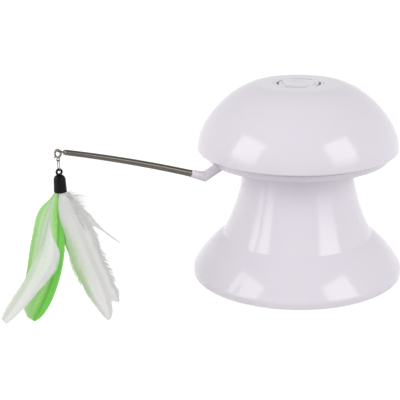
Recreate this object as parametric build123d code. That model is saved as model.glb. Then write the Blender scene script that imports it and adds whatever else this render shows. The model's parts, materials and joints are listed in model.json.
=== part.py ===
from build123d import *
import math
import os

# Cat toy: a mushroom-shaped body whose turning dish carries a spring rod with feathers and a laser.
# Millimetres, +Z up, the foot ring rests on z = 0 with the body's axis on Z, the arm leaves along -X.

# Clearances and fits
RUN_CLEAR = 0.05
FIT_CLEAR = 0.25
SCREW_CLEAR = 0.3
LINK_CLEAR = 0.08
CLAW_CLEAR = 0.2

# Base shell: skirt and neck in one moulding
BASE_R = 80.0
BASE_WALL = 2.4
RIM_H = 3.2
ROLL_H = 2.7
ROLL_IN = 0.8
SKIRT_H = 24.8
SKIRT_BULGE = 1.6
CREASE_SHARE = 0.404
NECK_H = 50.8
NECK_R = 41.4
NECK_BOW = 2.56
NECK_COLLAR_H = 3.3
NECK_COLLAR_R = 40.9

# Bottom cover, foot ring and cover screws
FOOT_PROUD = 0.8
FOOT_SUNK = 1.0
FOOT_EDGE = 1.85
FOOT_W = 6.0
COVER_T = 2.6
COVER_SCREW_IN = 7.5
COVER_SCREWS = 4
COVER_SCREW_DEG = 45.0
POST_R = 4.2
SCREW_R = 1.5
SCREW_LEN = 11.0
HEAD_R = 2.9
HEAD_H = 1.8

# Battery bay, cells and door
CELL_R = 7.1
CELL_LEN = 49.3
NUB_R = 2.7
NUB_H = 1.2
CELLS = 3
CELL_PITCH = 14.7
CELL_ROOM = 0.4
SPRING_ROOM = 5.5
CONTACT_T = 0.5
CONTACT_W = 10.0
BAY_WALL = 2.2
DOOR_T = 2.2
DOOR_LEDGE = 2.5
DOOR_LUG_R = 6.0
DOOR_LUG_OUT = 3.0
DOOR_BOSS_H = 9.0
DOOR_GRIP_R = 9.0
DOOR_GRIP_DEEP = 0.8
CELL_SPRING_WIRE = 0.6
CELL_SPRING_BIG_R = 4.3
CELL_SPRING_SMALL_R = 2.3
CELL_SPRING_TURNS = 2
CELL_SPRING_END = 1.5

# Drive train
GEAR_MODULE = 0.8
PRESSURE_DEG = 25.0
BACKLASH = 0.14
TURNTABLE_TEETH = 40
IDLER_TEETH = 30
PINION_TEETH = 12
GEAR_W = 4.2
STAGE_GAP = 3.0
STAGE_END_GAP = 0.5
IDLER_AXLE_R = 1.5
MOTOR_DEG = 0.0
MOTOR_R = 9.0
MOTOR_FLAT = 7.6
MOTOR_LEN = 24.0
MOTOR_NECK_R = 3.0
MOTOR_NECK_H = 1.5
MOTOR_SHAFT_R = 1.0
MOTOR_SCREW_R = 1.0
MOTOR_SCREW_OUT = 5.6
DECK_T = 3.0
DECK_EDGE_GAP = 1.0
DECK_SCREW_IN = 5.0
DECK_SCREWS = 3
DECK_POST_H = 16.0

# Spindle column, bush, washer and tray
COLUMN_R = 6.5
COLUMN_BORE_R = 3.4
COLUMN_STEP_R = 7.2
COLUMN_SCREW_OFF = 2.0
COLUMN_HEAD_R = 1.8
COLUMN_NECK_R = 5.0
COLUMN_FLANGE_H = 2.0
COLUMN_SCREW_OUT = COLUMN_STEP_R + COLUMN_SCREW_OFF
COLUMN_FLANGE_R = COLUMN_SCREW_OUT + COLUMN_HEAD_R
COLUMN_SCREWS = 3
COLUMN_SCREW_DEG = 30.0
BUSH_WALL = 2.0
WASHER_R = 9.5
WASHER_T = 0.8
LOOM_R = 1.8
TRAY_R = 27.0
TRAY_T = 2.5
TRAY_DROP = 23.0
NUT_R = 8.0
NUT_H = 2.5
BOARD_R = 17.0
BOARD_T = 1.6
STANDOFF_H = 6.0
STANDOFF_R = 2.2
STANDOFF_OUT = 13.0
STANDOFF_COUNT = 3
DOME_POST_OUT = 22.5
DOME_POST_R = 3.2
DOME_POSTS = 3
DOME_POST_DEG = 60.0

# Turning dish with its hub, arm socket and laser cradle
NECK_GAP = 0.9
DISH_R = 70.0
DISH_FLARE = 1.8
DISH_RISE = 4.6
DISH_RIM_H = 4.65
DISH_WALL = 2.2
DISH_FLAT_OUT = 3.0
DISH_EDGE_FILLET = 1.6
HUB_WALL = 2.4
HUB_UP = 10.0
SEAM_GAP = 0.8

# Slip ring, brushes and laser
SLIP_DISC_R = 17.4
SLIP_DISC_T = 1.6
SLIP_HUB_WALL = 1.8
SLIP_HUB_H = 5.0
SLIP_GAP = 1.6
TRACK_W = 1.5
TRACK_T = 0.3
TRACK_IN_R = 11.6
TRACK_STEP = 3.4
BRUSH_T = 0.4
BRUSH_FOOT = 4.0
BRUSH_GAP = 0.15
LASER_IN = 16.2
LASER_TILT_DEG = 35.0
LASER_R = 3.25
LASER_LEN = 13.0
LASER_WALL = 1.6
LASER_HOLE_R = 2.2
LENS_R = 2.8
LENS_T = 1.2

# Dome, bezel, light ring and button
DOME_OVER = 5.4
DOME_LIP_H = 2.05
DOME_H = 47.9
DOME_FLAT_R = 30.0
DOME_CROWN_SHARE = 0.35
DOME_SIDE_SHARE = 0.45
DOME_WALL = 2.6
DOME_LIP_W = 2.4
BEZEL_R = 18.4
BEZEL_SINK = 1.3
BEZEL_LEDGE = 1.4
SLOT_R = 15.7
SLOT_W = 1.9
SLOTS = 4
SLOT_DEG = 49.0
SLOT_SWEEP_DEG = 58.0
LIGHT_RING_T = 2.2
BUTTON_R = 12.0
BUTTON_PROUD = 0.4
BUTTON_T = 2.2
BUTTON_DISH_HALF = 7.0
BUTTON_DISH_DEEP = 0.7
BUTTON_WALL = 1.8
BUTTON_FLANGE = 1.2
BUTTON_FLANGE_T = 1.2
BUTTON_TRAVEL = 1.0
BUTTON_STEM_R = 3.0
SWITCH_W = 6.2
SWITCH_H = 3.6
PLUNGER_R = 1.7
PLUNGER_OUT = 1.6
PLUNGER_IN = 1.2

# Arm: elbow and spring rod, drawn in the radial plane
ELBOW_R = 3.6
ELBOW_PLUG_R = 3.0
ELBOW_PLUG_LEN = 10.0
ELBOW_SHOULDER_IN = 9.0
ELBOW_ENTRY_IN = 2.3
ELBOW_ENTRY_DROP = 3.95
ELBOW_LEG_1 = 12.0
ELBOW_LEG_2 = 11.9
ELBOW_DROP_DEG = 25.0
ELBOW_MOUTH_R = 2.75
SOCKET_WALL = 2.6
SLOT_SIDE_GAP = 0.9
ROD_RISE_DEG = 19.8
ROD_DROOP_DEG = 5.1
ROD_LEN = 95.0
ROD_PLUG_LEN = 7.0
CORE_R = 0.55
COIL_WIRE = 0.8
COIL_ROOT_R = 1.9
COIL_TIP_R = 1.3
COIL_TURNS = 72
COIL_END_LEN = 1.8

# Rod end, clasp and links
FERRULE_R = 1.7
FERRULE_LEN = 0.9
ROD_EYE_R = 2.1
ROD_EYE_WIRE_R = 0.4
CLASP_T = 1.4
CLASP_BAR = 1.1
CLASP_HALF_W = 2.5
CLASP_HALF_H = 3.1
CLASP_EYE_R = 1.05
CLASP_EYE_WIRE_R = 0.35
GATE_TOP_DEG = 18.0
GATE_WIDE_DEG = 60.0
GATE_LOW_DEG = -22.0
GATE_PIVOT_DEG = -38.0
GATE_END_DEG = -56.0
GATE_T = 0.6
GATE_SIDE_GAP = 0.1
GATE_END_GAP = 0.12
GATE_KNUCKLE_R = 0.52
GATE_PIN_R = 0.28
GATE_TAB_LEN = 1.1
GATE_TAB_H = 0.8
RING_WIRE_R = 0.3
RING_R = 2.0
RING_STRAIGHT = 3.5
CAP_EYE_R = 1.75
CAP_EYE_TUBE_R = 0.75
CAP_R = 4.3
CAP_H = 12.0
CAP_TAPER = 0.35
CAP_SHOULDER = 3.6
CAP_LIP = 0.4
CAP_WALL = 0.75
CAP_ROOF = 4.0

# Feathers
FAN_TURN_DEG = -30.0
QUILL_W = 1.2
QUILL_T = 0.8
VANE_T = 0.45
VANE_EDGE_T = 0.25
VANE_CUP_SHARE = 0.05
VANE_STATIONS = 9
VANE_CROWD_POWER = 1.6
VANE_END_SHARE = 0.985

# Radii that follow from the base and the dish
CREASE_R = NECK_R + CREASE_SHARE * (BASE_R - NECK_R)
COVER_R = BASE_R - BASE_WALL - FIT_CLEAR
FOOT_OUT_R = COVER_R - FOOT_EDGE
FOOT_IN_R = FOOT_OUT_R - FOOT_W
COVER_SCREW_R = FOOT_IN_R - COVER_SCREW_IN
DISH_LOW_R = DISH_R - DISH_FLARE
LASER_OUT = DISH_LOW_R - LASER_IN
DOME_R = DISH_R + DOME_OVER

# Heights that follow from the stack
RIM_Z = FOOT_PROUD
COVER_TOP = RIM_Z + COVER_T
ROLL_Z = RIM_Z + RIM_H
SKIRT_Z = ROLL_Z + ROLL_H
CREASE_Z = SKIRT_Z + SKIRT_H
NECK_Z = CREASE_Z + NECK_H
NECK_TOP = NECK_Z + NECK_COLLAR_H
DISH_UNDER = NECK_TOP + NECK_GAP
DISH_FLOOR = DISH_UNDER + DISH_WALL
DISH_LOW = DISH_UNDER + DISH_RISE
DISH_TOP = DISH_LOW + DISH_RIM_H
DOME_LOW = DISH_TOP + SEAM_GAP
DOME_MID = DOME_LOW + DOME_LIP_H
DOME_TOP = DOME_MID + DOME_H

GEAR_TOP = DISH_UNDER
GEAR_LOW = GEAR_TOP - GEAR_W
IDLER_TOP = GEAR_LOW - STAGE_GAP
IDLER_LOW = IDLER_TOP - GEAR_W
DECK_TOP = IDLER_LOW - 2 * FIT_CLEAR
DECK_LOW = DECK_TOP - DECK_T
HUB_LOW = GEAR_LOW
HUB_TOP = DISH_FLOOR + HUB_UP
WASHER_LOW = HUB_LOW - FIT_CLEAR - WASHER_T
SLIP_LOW = HUB_TOP + SLIP_GAP
TRAY_TOP = DOME_TOP - TRAY_DROP
TRAY_LOW = TRAY_TOP - TRAY_T
BOARD_LOW = TRAY_TOP + STANDOFF_H
BOARD_TOP = BOARD_LOW + BOARD_T
SWITCH_TOP = BOARD_TOP + SWITCH_H
PLUNGER_TOP = SWITCH_TOP + PLUNGER_OUT

IDLER_DISTANCE = GEAR_MODULE * (TURNTABLE_TEETH + PINION_TEETH) / 2
MOTOR_DISTANCE = GEAR_MODULE * (IDLER_TEETH + PINION_TEETH) / 2
IDLER_AT = Vector(0, IDLER_DISTANCE)
MOTOR_AT = IDLER_AT + Vector(MOTOR_DISTANCE, 0).rotate(Axis.Z, MOTOR_DEG)
BUSH_R = COLUMN_R + RUN_CLEAR + BUSH_WALL
HUB_R = BUSH_R + HUB_WALL
GATE_HOLE_R = GATE_PIN_R + RUN_CLEAR
SCREW_HOLE_R = SCREW_R + RUN_CLEAR
BAY_HALF_X = CELLS * CELL_PITCH / 2 + CELL_ROOM
BAY_HALF_Y = (CELL_LEN + NUB_H + SPRING_ROOM + 2 * CONTACT_T) / 2
DOOR_TOP = RIM_Z + DOOR_T
CELL_Z = DOOR_TOP + CELL_ROOM + CELL_R
BAY_ROOF = CELL_Z + CELL_R + CELL_ROOM
BAY_TOP = BAY_ROOF + BAY_WALL


def neck_radius(height):
    """Outer radius of the neck at a height between its crease and its collar."""
    share = (height - CREASE_Z) / NECK_H
    return CREASE_R + (NECK_R - CREASE_R) * share - 4 * NECK_BOW * share * (1 - share)


DECK_R = neck_radius(DECK_TOP) - BASE_WALL - DECK_EDGE_GAP
DECK_SCREW_AT = DECK_R - DECK_SCREW_IN
BEZEL_SEAT = DOME_TOP - BEZEL_SINK
BEZEL_BORE_R = BUTTON_R + FIT_CLEAR
BUTTON_TOP = DOME_TOP + BUTTON_PROUD
BUTTON_LOW = BEZEL_SEAT - LINK_CLEAR - BUTTON_FLANGE_T
BUTTON_FLANGE_R = BUTTON_R + BUTTON_FLANGE

# Arm points in the radial plane: distance out from the axis, height
ARM_PLANE = Plane(origin=(0, 0, 0), x_dir=(-1, 0, 0), z_dir=(0, 1, 0))
LEG_1_WAY = Vector(1, 0).rotate(Axis.Z, -ELBOW_DROP_DEG)
LEG_2_WAY = Vector(1, 0).rotate(Axis.Z, ROD_RISE_DEG)
ENTRY = Vector(DISH_R - ELBOW_ENTRY_IN, DISH_TOP - ELBOW_ENTRY_DROP)
CORNER = ENTRY + LEG_1_WAY * ELBOW_LEG_1
MOUTH = CORNER + LEG_2_WAY * ELBOW_LEG_2
SHOULDER = ENTRY - LEG_1_WAY * ELBOW_SHOULDER_IN
ROD_BEND_R = ROD_LEN / math.radians(ROD_DROOP_DEG)
ROD_LINE = JernArc(MOUTH, LEG_2_WAY, ROD_BEND_R, -ROD_DROOP_DEG)
ROD_TIP = ROD_LINE @ 1
TIP_WAY = ROD_LINE % 1
ROD_EYE_AT = ROD_TIP + TIP_WAY * (FERRULE_LEN + ROD_EYE_R)
HANG = ROD_EYE_AT + TIP_WAY * ROD_EYE_R

# Heights of the links that hang from the rod's eye
CLAW_IN_W = CLASP_HALF_W - CLASP_BAR
CLAW_IN_H = CLASP_HALF_H - CLASP_BAR
CLAW_Z = HANG.Y + ROD_EYE_WIRE_R + CLAW_CLEAR - CLAW_IN_H
CLASP_EYE_Z = CLAW_Z - CLASP_HALF_H - CLASP_EYE_R
RING_PIVOT_Z = CLASP_EYE_Z - CLASP_EYE_R
RING_TOP = RING_PIVOT_Z + CLASP_EYE_WIRE_R + RING_WIRE_R + LINK_CLEAR
RING_LOW = RING_TOP - 2 * RING_R - RING_STRAIGHT
CAP_EYE_Z = RING_LOW + RING_WIRE_R + LINK_CLEAR - (CAP_EYE_R - CAP_EYE_TUBE_R)
CAP_TOP = CAP_EYE_Z - CAP_EYE_R
CAP_MOUTH = CAP_TOP - CAP_H


def turned(section):
    """Solid of revolution about Z of a section drawn as radius and height."""
    return revolve(Plane.XZ * section, Axis.Z)


def ring(outer_r, inner_r, low, high):
    """Flat-ended tube about Z."""
    return Pos(0, 0, low) * extrude(Circle(outer_r) - Circle(inner_r), high - low)


def disc(radius, low, high, at=Vector(0, 0)):
    """Upright cylinder between two heights."""
    return Pos(at.X, at.Y, low) * extrude(Circle(radius), high - low)


def polar(radius, degrees):
    """Point in plan at a radius and an angle."""
    return Vector(radius, 0).rotate(Axis.Z, degrees)


def spread(count, start=0.0):
    """Evenly spread angles round the axis."""
    return [start + 360 * step / count for step in range(count)]


def bow(start, end, sagitta):
    """Arc that bows to the right of its travel."""
    start = Vector(start)
    end = Vector(end)
    along = (end - start).normalized()
    aside = Vector(along.Y, -along.X)
    return ThreePointArc(start, (start + end) / 2 + aside * sagitta, end)


def screw(at, head_low, head_h, shank_r, length, head_r, points_up=True):
    """Pan-head screw standing on its head, or hanging from it."""
    body = disc(head_r, 0, head_h) + disc(shank_r, head_h, head_h + length)
    body -= Pos(0, 0, 0) * extrude(Rectangle(head_r * 1.2, head_r * 0.3), head_h * 0.4)
    turn = 0 if points_up else 180
    return Pos(at.X, at.Y, head_low) * Rot(turn, 0, 0) * body


def group(solids):
    """Separate solids of one node."""
    return Compound(children=list(solids))


def swell(start, end, sagitta):
    """Curve that swells to the right of its travel."""
    start = Vector(start)
    end = Vector(end)
    along = (end - start).normalized()
    aside = Vector(along.Y, -along.X)
    return Bezier(start, (start + end) / 2 + aside * 2 * sagitta, end)


def outward(curve, share):
    """Way to the right of a curve's travel."""
    way = curve % share
    return Vector(way.Y, -way.X)


def corner_way(before, after):
    """Way to the right of a corner, long enough to keep both walls' thickness."""
    both = outward(before, 1) + outward(after, 0)
    return both * (2 / both.dot(both))


def base_block(inset):
    """Solid body of the base from the rim to the collar, shrunk by an inset."""
    rim_low = Vector(BASE_R, RIM_Z)
    rim_high = Vector(BASE_R, ROLL_Z)
    skirt_low = Vector(BASE_R - ROLL_IN, SKIRT_Z)
    crease = Vector(CREASE_R, CREASE_Z)
    neck = Vector(NECK_R, NECK_Z)
    collar = Vector(NECK_COLLAR_R, NECK_TOP)
    skirt = swell(skirt_low, crease, SKIRT_BULGE)
    flank = bow(crease, neck, -NECK_BOW)
    lip = Line(neck, collar)
    side = Vector(1, 0)
    rim_low -= side * inset
    rim_high -= side * inset
    skirt_low -= outward(skirt, 0) * inset
    crease -= corner_way(skirt, flank) * inset
    neck -= corner_way(flank, lip) * inset
    collar -= side * inset
    outline = [
        Line(rim_low, rim_high),
        TangentArc(rim_high, skirt_low, tangent=(0, 1)),
        swell(skirt_low, crease, SKIRT_BULGE),
        bow(crease, neck, -NECK_BOW),
        Line(neck, collar),
    ]
    close = Polyline(collar, (0, NECK_TOP), (0, RIM_Z), rim_low)
    return turned(make_face(outline + close.edges()))


def base_shell():
    """Skirt and neck with screw posts for the cover and ribbed posts for the gear deck."""
    shell = base_block(0) - base_block(BASE_WALL)
    core = base_block(BASE_WALL / 2)
    posts = []
    holes = []
    for angle in spread(COVER_SCREWS, COVER_SCREW_DEG):
        at = polar(COVER_SCREW_R, angle)
        posts.append(disc(POST_R, COVER_TOP, CREASE_Z, at))
        holes.append(disc(SCREW_HOLE_R, COVER_TOP, COVER_TOP + SCREW_LEN, at))
    for angle in spread(DECK_SCREWS):
        at = polar(DECK_SCREW_AT, angle)
        low = DECK_LOW - DECK_POST_H
        rib = extrude(Rectangle(BASE_R, BASE_WALL, align=(Align.MIN, Align.CENTER)), DECK_POST_H)
        posts.append(disc(POST_R, low, DECK_LOW, at))
        posts.append(Rot(0, 0, angle) * Pos(DECK_SCREW_AT, 0, low) * rib)
        holes.append(disc(SCREW_HOLE_R, low, DECK_LOW, at))
    for post in posts:
        shell += post & core
    for hole in holes:
        shell -= hole
    return shell


def door_outline(clear):
    """Plan of the battery door, with a lug for its screw, grown by a clearance."""
    width = 2 * (BAY_HALF_X + DOOR_LEDGE + clear)
    length = 2 * (BAY_HALF_Y + DOOR_LEDGE + clear)
    lug = Pos(0, door_screw_at().Y) * Circle(DOOR_LUG_R + clear)
    return Rectangle(width, length) + lug


def door_screw_at():
    """Plan position of the door's screw."""
    return Vector(0, BAY_HALF_Y + DOOR_LEDGE + DOOR_LUG_OUT)


def base_cover():
    """Bottom plate with the foot groove, screw holes and battery bay."""
    plate = disc(COVER_R, RIM_Z, COVER_TOP)
    collar_x = 2 * (BAY_HALF_X + DOOR_LEDGE + BAY_WALL)
    collar_y = 2 * (BAY_HALF_Y + DOOR_LEDGE + BAY_WALL)
    plate += Pos(0, 0, RIM_Z) * extrude(Rectangle(collar_x, collar_y), DOOR_T + BAY_WALL)
    box = Rectangle(2 * (BAY_HALF_X + BAY_WALL), 2 * (BAY_HALF_Y + BAY_WALL))
    plate += Pos(0, 0, RIM_Z) * extrude(box, BAY_TOP - RIM_Z)
    plate += disc(DOOR_LUG_R + BAY_WALL, RIM_Z, RIM_Z + DOOR_BOSS_H, door_screw_at())
    plate -= Pos(0, 0, RIM_Z) * extrude(Rectangle(2 * BAY_HALF_X, 2 * BAY_HALF_Y), BAY_ROOF - RIM_Z)
    plate -= Pos(0, 0, RIM_Z) * extrude(door_outline(FIT_CLEAR), DOOR_T)
    plate -= disc(SCREW_HOLE_R, RIM_Z, RIM_Z + DOOR_BOSS_H, door_screw_at())
    plate -= ring(FOOT_OUT_R, FOOT_IN_R, RIM_Z, RIM_Z + FOOT_SUNK)
    for angle in spread(COVER_SCREWS, COVER_SCREW_DEG):
        at = polar(COVER_SCREW_R, angle)
        plate -= disc(HEAD_R + SCREW_CLEAR, RIM_Z, RIM_Z + HEAD_H, at)
        plate -= disc(SCREW_HOLE_R, RIM_Z, COVER_TOP, at)
    return plate


def foot_ring():
    """Rubber ring that the toy stands on."""
    return ring(FOOT_OUT_R, FOOT_IN_R, 0, FOOT_PROUD + FOOT_SUNK)


def cover_screws():
    """Screws that hold the cover to the base posts."""
    length = SCREW_LEN + COVER_T - HEAD_H - SCREW_CLEAR
    places = [polar(COVER_SCREW_R, angle) for angle in spread(COVER_SCREWS, COVER_SCREW_DEG)]
    return group(screw(at, RIM_Z, HEAD_H, SCREW_R, length, HEAD_R) for at in places)


def battery_door():
    """Flat door with a thumb hollow and a counterbored lug."""
    door = Pos(0, 0, RIM_Z) * extrude(door_outline(0), DOOR_T)
    at = door_screw_at()
    door -= disc(HEAD_R + SCREW_CLEAR, RIM_Z, RIM_Z + DOOR_T / 2, at)
    door -= disc(SCREW_HOLE_R, RIM_Z, DOOR_TOP, at)
    thumb = disc(DOOR_GRIP_R, RIM_Z, RIM_Z + DOOR_GRIP_DEEP, Vector(0, -BAY_HALF_Y / 2))
    return door - thumb


def door_screw():
    """Captive screw of the battery door."""
    length = DOOR_BOSS_H - DOOR_T / 2 - SCREW_CLEAR
    return screw(door_screw_at(), RIM_Z, DOOR_T / 2, SCREW_R, length, HEAD_R)


def cell_places():
    """Plan positions of the cells, with the way that each one's nub points along Y."""
    first = -(CELLS - 1) / 2 * CELL_PITCH
    return [(first + CELL_PITCH * step, 1 if step % 2 == 0 else -1) for step in range(CELLS)]


def aa_cells():
    """Cylindrical cells that lie side by side, nubs in turn to either end."""
    can = extrude(Circle(CELL_R), CELL_LEN) + extrude(Circle(NUB_R), CELL_LEN + NUB_H)
    can = chamfer(can.edges().sort_by(Axis.Z)[0], CELL_ROOM)
    cells = []
    for x, way in cell_places():
        start = way * (BAY_HALF_Y - CONTACT_T - NUB_H - CELL_LEN)
        cells.append(Pos(x, start, CELL_Z) * Rot(-90 * way, 0, 0) * can)
    return group(cells)


def battery_contacts():
    """Spring-steel plates at both ends of each cell."""
    plates = []
    for x, way in cell_places():
        for end in (-1, 1):
            y = end * (BAY_HALF_Y - CONTACT_T / 2)
            plates.append(Pos(x, y, CELL_Z) * Box(CONTACT_W, CONTACT_T, CONTACT_W))
    return group(plates)


def biarc(start, start_way, end, end_way):
    """Two arcs that leave and arrive along given ways."""
    chord = end - start
    both = start_way + end_way
    spare = 2 * (1 - start_way.dot(end_way))
    reach = (math.sqrt(chord.dot(both) ** 2 + spare * chord.dot(chord)) - chord.dot(both)) / spare
    middle = (start + end + (start_way - end_way) * reach) / 2
    middle_way = (end - end_way * reach - start - start_way * reach).normalized()
    return [
        TangentArc(start, middle, tangent=start_way),
        TangentArc(middle, end, tangent=middle_way),
    ]


def coil_edges(axis_at, radius_at, length, turns, end_len, wire):
    """Path of a coil along an axis curve, with straight ends square to its end faces.

    axis_at(share) gives the axis point, its way and an upright; radius_at(share) the coil radius.
    """
    end_share = end_len / length

    def place(share, degrees):
        centre, way, upright = axis_at(share)
        arm = upright.rotate(Axis((0, 0, 0), way), degrees)
        return centre + arm * radius_at(share)

    def wound(share):
        return place(share, 360 * turns * (share - end_share) / (1 - 2 * end_share))

    def wound_way(share):
        step = 0.01 / turns
        return (wound(share + step) - wound(share - step)).normalized()

    def lead(share):
        return math.degrees((end_len - wire) / radius_at(share))

    halves = 2 * turns
    shares = [end_share + (1 - 2 * end_share) * step / halves for step in range(halves + 1)]
    stops = [(wound(share), wound_way(share)) for share in shares]
    first_way = axis_at(0)[1]
    last_way = axis_at(1)[1]
    first = place(0, -lead(0))
    last = place(1, 360 * turns + lead(1))
    stops.insert(0, (first + first_way * wire, first_way))
    stops.append((last - last_way * wire, last_way))
    edges = [Line(first, stops[0][0])]
    for here, there in zip(stops, stops[1:]):
        edges += biarc(*here, *there)
    edges.append(Line(stops[-1][0], last))
    return edges


def least_gap(edges, wire):
    """Least gap of a coil to itself, measured on points along its path."""
    shares = (0.0, 0.25, 0.5, 0.75)
    points = []
    walked = 0.0
    for edge in edges:
        points += [(walked + edge.length * share, edge @ share) for share in shares]
        walked += edge.length
    window = 40
    apart = 3 * wire
    gaps = []
    for index, (here, point) in enumerate(points):
        for there, other in points[index + 1:index + window]:
            if there - here > apart:
                gaps.append((other - point).length - wire)
    return min(gaps)


def wound_tube(edges, wire):
    """Round wire swept along a coil's path."""
    path = Wire(edges)
    section = Plane(origin=path @ 0, z_dir=path % 0) * Circle(wire / 2)
    return sweep(section, path)


def cell_springs():
    """Conical springs that press on the cells' flat ends."""
    springs = []
    for x, way in cell_places():
        foot = Vector(x, -way * (BAY_HALF_Y - CONTACT_T), CELL_Z)

        def axis_at(share, foot=foot, way=way):
            return foot + Vector(0, way * SPRING_ROOM * share, 0), Vector(0, way, 0), Vector(0, 0, 1)

        def radius_at(share):
            return CELL_SPRING_BIG_R + (CELL_SPRING_SMALL_R - CELL_SPRING_BIG_R) * share

        edges = coil_edges(
            axis_at, radius_at, SPRING_ROOM, CELL_SPRING_TURNS, CELL_SPRING_END, CELL_SPRING_WIRE
        )
        print("cell spring gap", round(least_gap(edges, CELL_SPRING_WIRE), 3))
        springs.append(wound_tube(edges, CELL_SPRING_WIRE))
    return group(springs)


def flank_points(teeth, lead):
    """Points of one involute flank, as radius and angle from the tooth's middle."""
    pitch_r = GEAR_MODULE * teeth / 2
    base_r = pitch_r * math.cos(math.radians(PRESSURE_DEG))
    involute = math.tan(math.radians(PRESSURE_DEG)) - math.radians(PRESSURE_DEG)
    half = (math.pi * GEAR_MODULE / 2 - lead) / (2 * pitch_r) + involute
    tip_r = pitch_r + GEAR_MODULE
    points = []
    for share in (0.0, 0.5, 1.0):
        radius = base_r + (tip_r - base_r) * share
        roll = math.acos(base_r / radius)
        points.append((radius, half - (math.tan(roll) - roll)))
    return points


def gear_face(teeth, start_deg):
    """Spur gear outline with a tooth centred on an angle."""
    flank = flank_points(teeth, BACKLASH)
    root_r = GEAR_MODULE * teeth / 2 - 1.25 * GEAR_MODULE
    pitch_angle = 2 * math.pi / teeth
    edges = []
    for tooth in range(teeth):
        middle = math.radians(start_deg) + tooth * pitch_angle

        def at(radius, angle, middle=middle):
            return Vector(radius * math.cos(middle + angle), radius * math.sin(middle + angle))

        foot = flank[0][1]
        rise = [at(radius, -angle) for radius, angle in flank]
        fall = [at(radius, angle) for radius, angle in reversed(flank)]
        edges.append(Line(at(root_r, -foot), rise[0]))
        edges.append(ThreePointArc(*rise))
        edges.append(Line(rise[-1], fall[0]))
        edges.append(ThreePointArc(*fall))
        edges.append(Line(fall[-1], at(root_r, foot)))
        edges.append(Line(at(root_r, foot), at(root_r, pitch_angle - foot)))
    return make_face(edges)


def gear(teeth, start_deg, bore_r, low, high, at=Vector(0, 0)):
    """Spur gear between two heights."""
    face = gear_face(teeth, start_deg) - Circle(bore_r)
    return Pos(at.X, at.Y, low) * extrude(face, high - low)


def gear_deck():
    """Plate across the neck that carries the motor, the axle and the column."""
    deck = disc(DECK_R, DECK_LOW, DECK_TOP)
    deck -= disc(COLUMN_STEP_R + RUN_CLEAR, DECK_LOW, DECK_TOP)
    deck -= disc(MOTOR_NECK_R + RUN_CLEAR, DECK_LOW, DECK_TOP, MOTOR_AT)
    deck -= disc(IDLER_AXLE_R, DECK_LOW, DECK_TOP, IDLER_AT)
    for angle in spread(DECK_SCREWS):
        deck -= disc(SCREW_HOLE_R, DECK_LOW, DECK_TOP, polar(DECK_SCREW_AT, angle))
    for at in motor_screw_places():
        deck -= disc(MOTOR_SCREW_R + RUN_CLEAR, DECK_LOW, DECK_TOP, at)
        deck -= disc(2 * MOTOR_SCREW_R + RUN_CLEAR, DECK_TOP - DECK_T / 2, DECK_TOP, at)
    for angle in spread(COLUMN_SCREWS, COLUMN_SCREW_DEG):
        at = polar(COLUMN_SCREW_OUT, angle)
        deck -= disc(MOTOR_SCREW_R + RUN_CLEAR, DECK_LOW, DECK_TOP - SCREW_CLEAR, at)
    return deck


def deck_screws():
    """Screws that hold the gear deck to the base posts."""
    places = [polar(DECK_SCREW_AT, angle) for angle in spread(DECK_SCREWS)]
    return group(
        screw(at, DECK_TOP + HEAD_H, HEAD_H, SCREW_R, SCREW_LEN, HEAD_R, False) for at in places
    )


def motor_screw_places():
    """Plan positions of the two motor screws."""
    return [MOTOR_AT + Vector(0, side * MOTOR_SCREW_OUT) for side in (-1, 1)]


def gear_motor():
    """Flat-sided motor can with a bearing neck and tapped face."""
    can = extrude(Circle(MOTOR_R) & Rectangle(2 * MOTOR_FLAT, 2 * MOTOR_R), MOTOR_LEN)
    motor = Pos(MOTOR_AT.X, MOTOR_AT.Y, DECK_LOW - MOTOR_LEN) * can
    motor += disc(MOTOR_NECK_R, DECK_LOW, DECK_LOW + MOTOR_NECK_H, MOTOR_AT)
    motor -= disc(MOTOR_SHAFT_R + RUN_CLEAR, DECK_LOW - MOTOR_LEN / 2, DECK_TOP, MOTOR_AT)
    for at in motor_screw_places():
        motor -= disc(MOTOR_SCREW_R + RUN_CLEAR, DECK_LOW - DECK_T, DECK_LOW, at)
    return motor


def motor_screws():
    """Small screws through the deck into the motor's face."""
    head_h = DECK_T / 2 - SCREW_CLEAR
    top = DECK_TOP - SCREW_CLEAR
    return group(
        screw(at, top, head_h, MOTOR_SCREW_R, DECK_T, 2 * MOTOR_SCREW_R, False)
        for at in motor_screw_places()
    )


def motor_pinion():
    """Pinion on the motor's shaft."""
    face_deg = MOTOR_DEG + 180 + 180 / PINION_TEETH
    pinion = gear(PINION_TEETH, face_deg, MOTOR_SHAFT_R, IDLER_LOW, IDLER_TOP, MOTOR_AT)
    return pinion + disc(MOTOR_SHAFT_R, DECK_LOW - MOTOR_LEN / 2 + SCREW_CLEAR, IDLER_TOP, MOTOR_AT)


def compound_gear():
    """Large gear driven by the motor and small gear that drives the turntable."""
    bore = IDLER_AXLE_R + RUN_CLEAR
    wheel = gear(IDLER_TEETH, MOTOR_DEG, bore, IDLER_LOW, IDLER_TOP, IDLER_AT)
    face_deg = 270 + 180 / PINION_TEETH
    return wheel + gear(PINION_TEETH, face_deg, bore, IDLER_TOP, GEAR_TOP - STAGE_END_GAP, IDLER_AT)


def gear_axle():
    """Steel pin of the compound gear, pressed into the deck."""
    return disc(IDLER_AXLE_R, DECK_LOW, GEAR_TOP - STAGE_END_GAP, IDLER_AT)


def turntable_gear():
    """Gear pressed on the dish's hub."""
    return gear(TURNTABLE_TEETH, 90, HUB_R, GEAR_LOW, GEAR_TOP)


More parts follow.
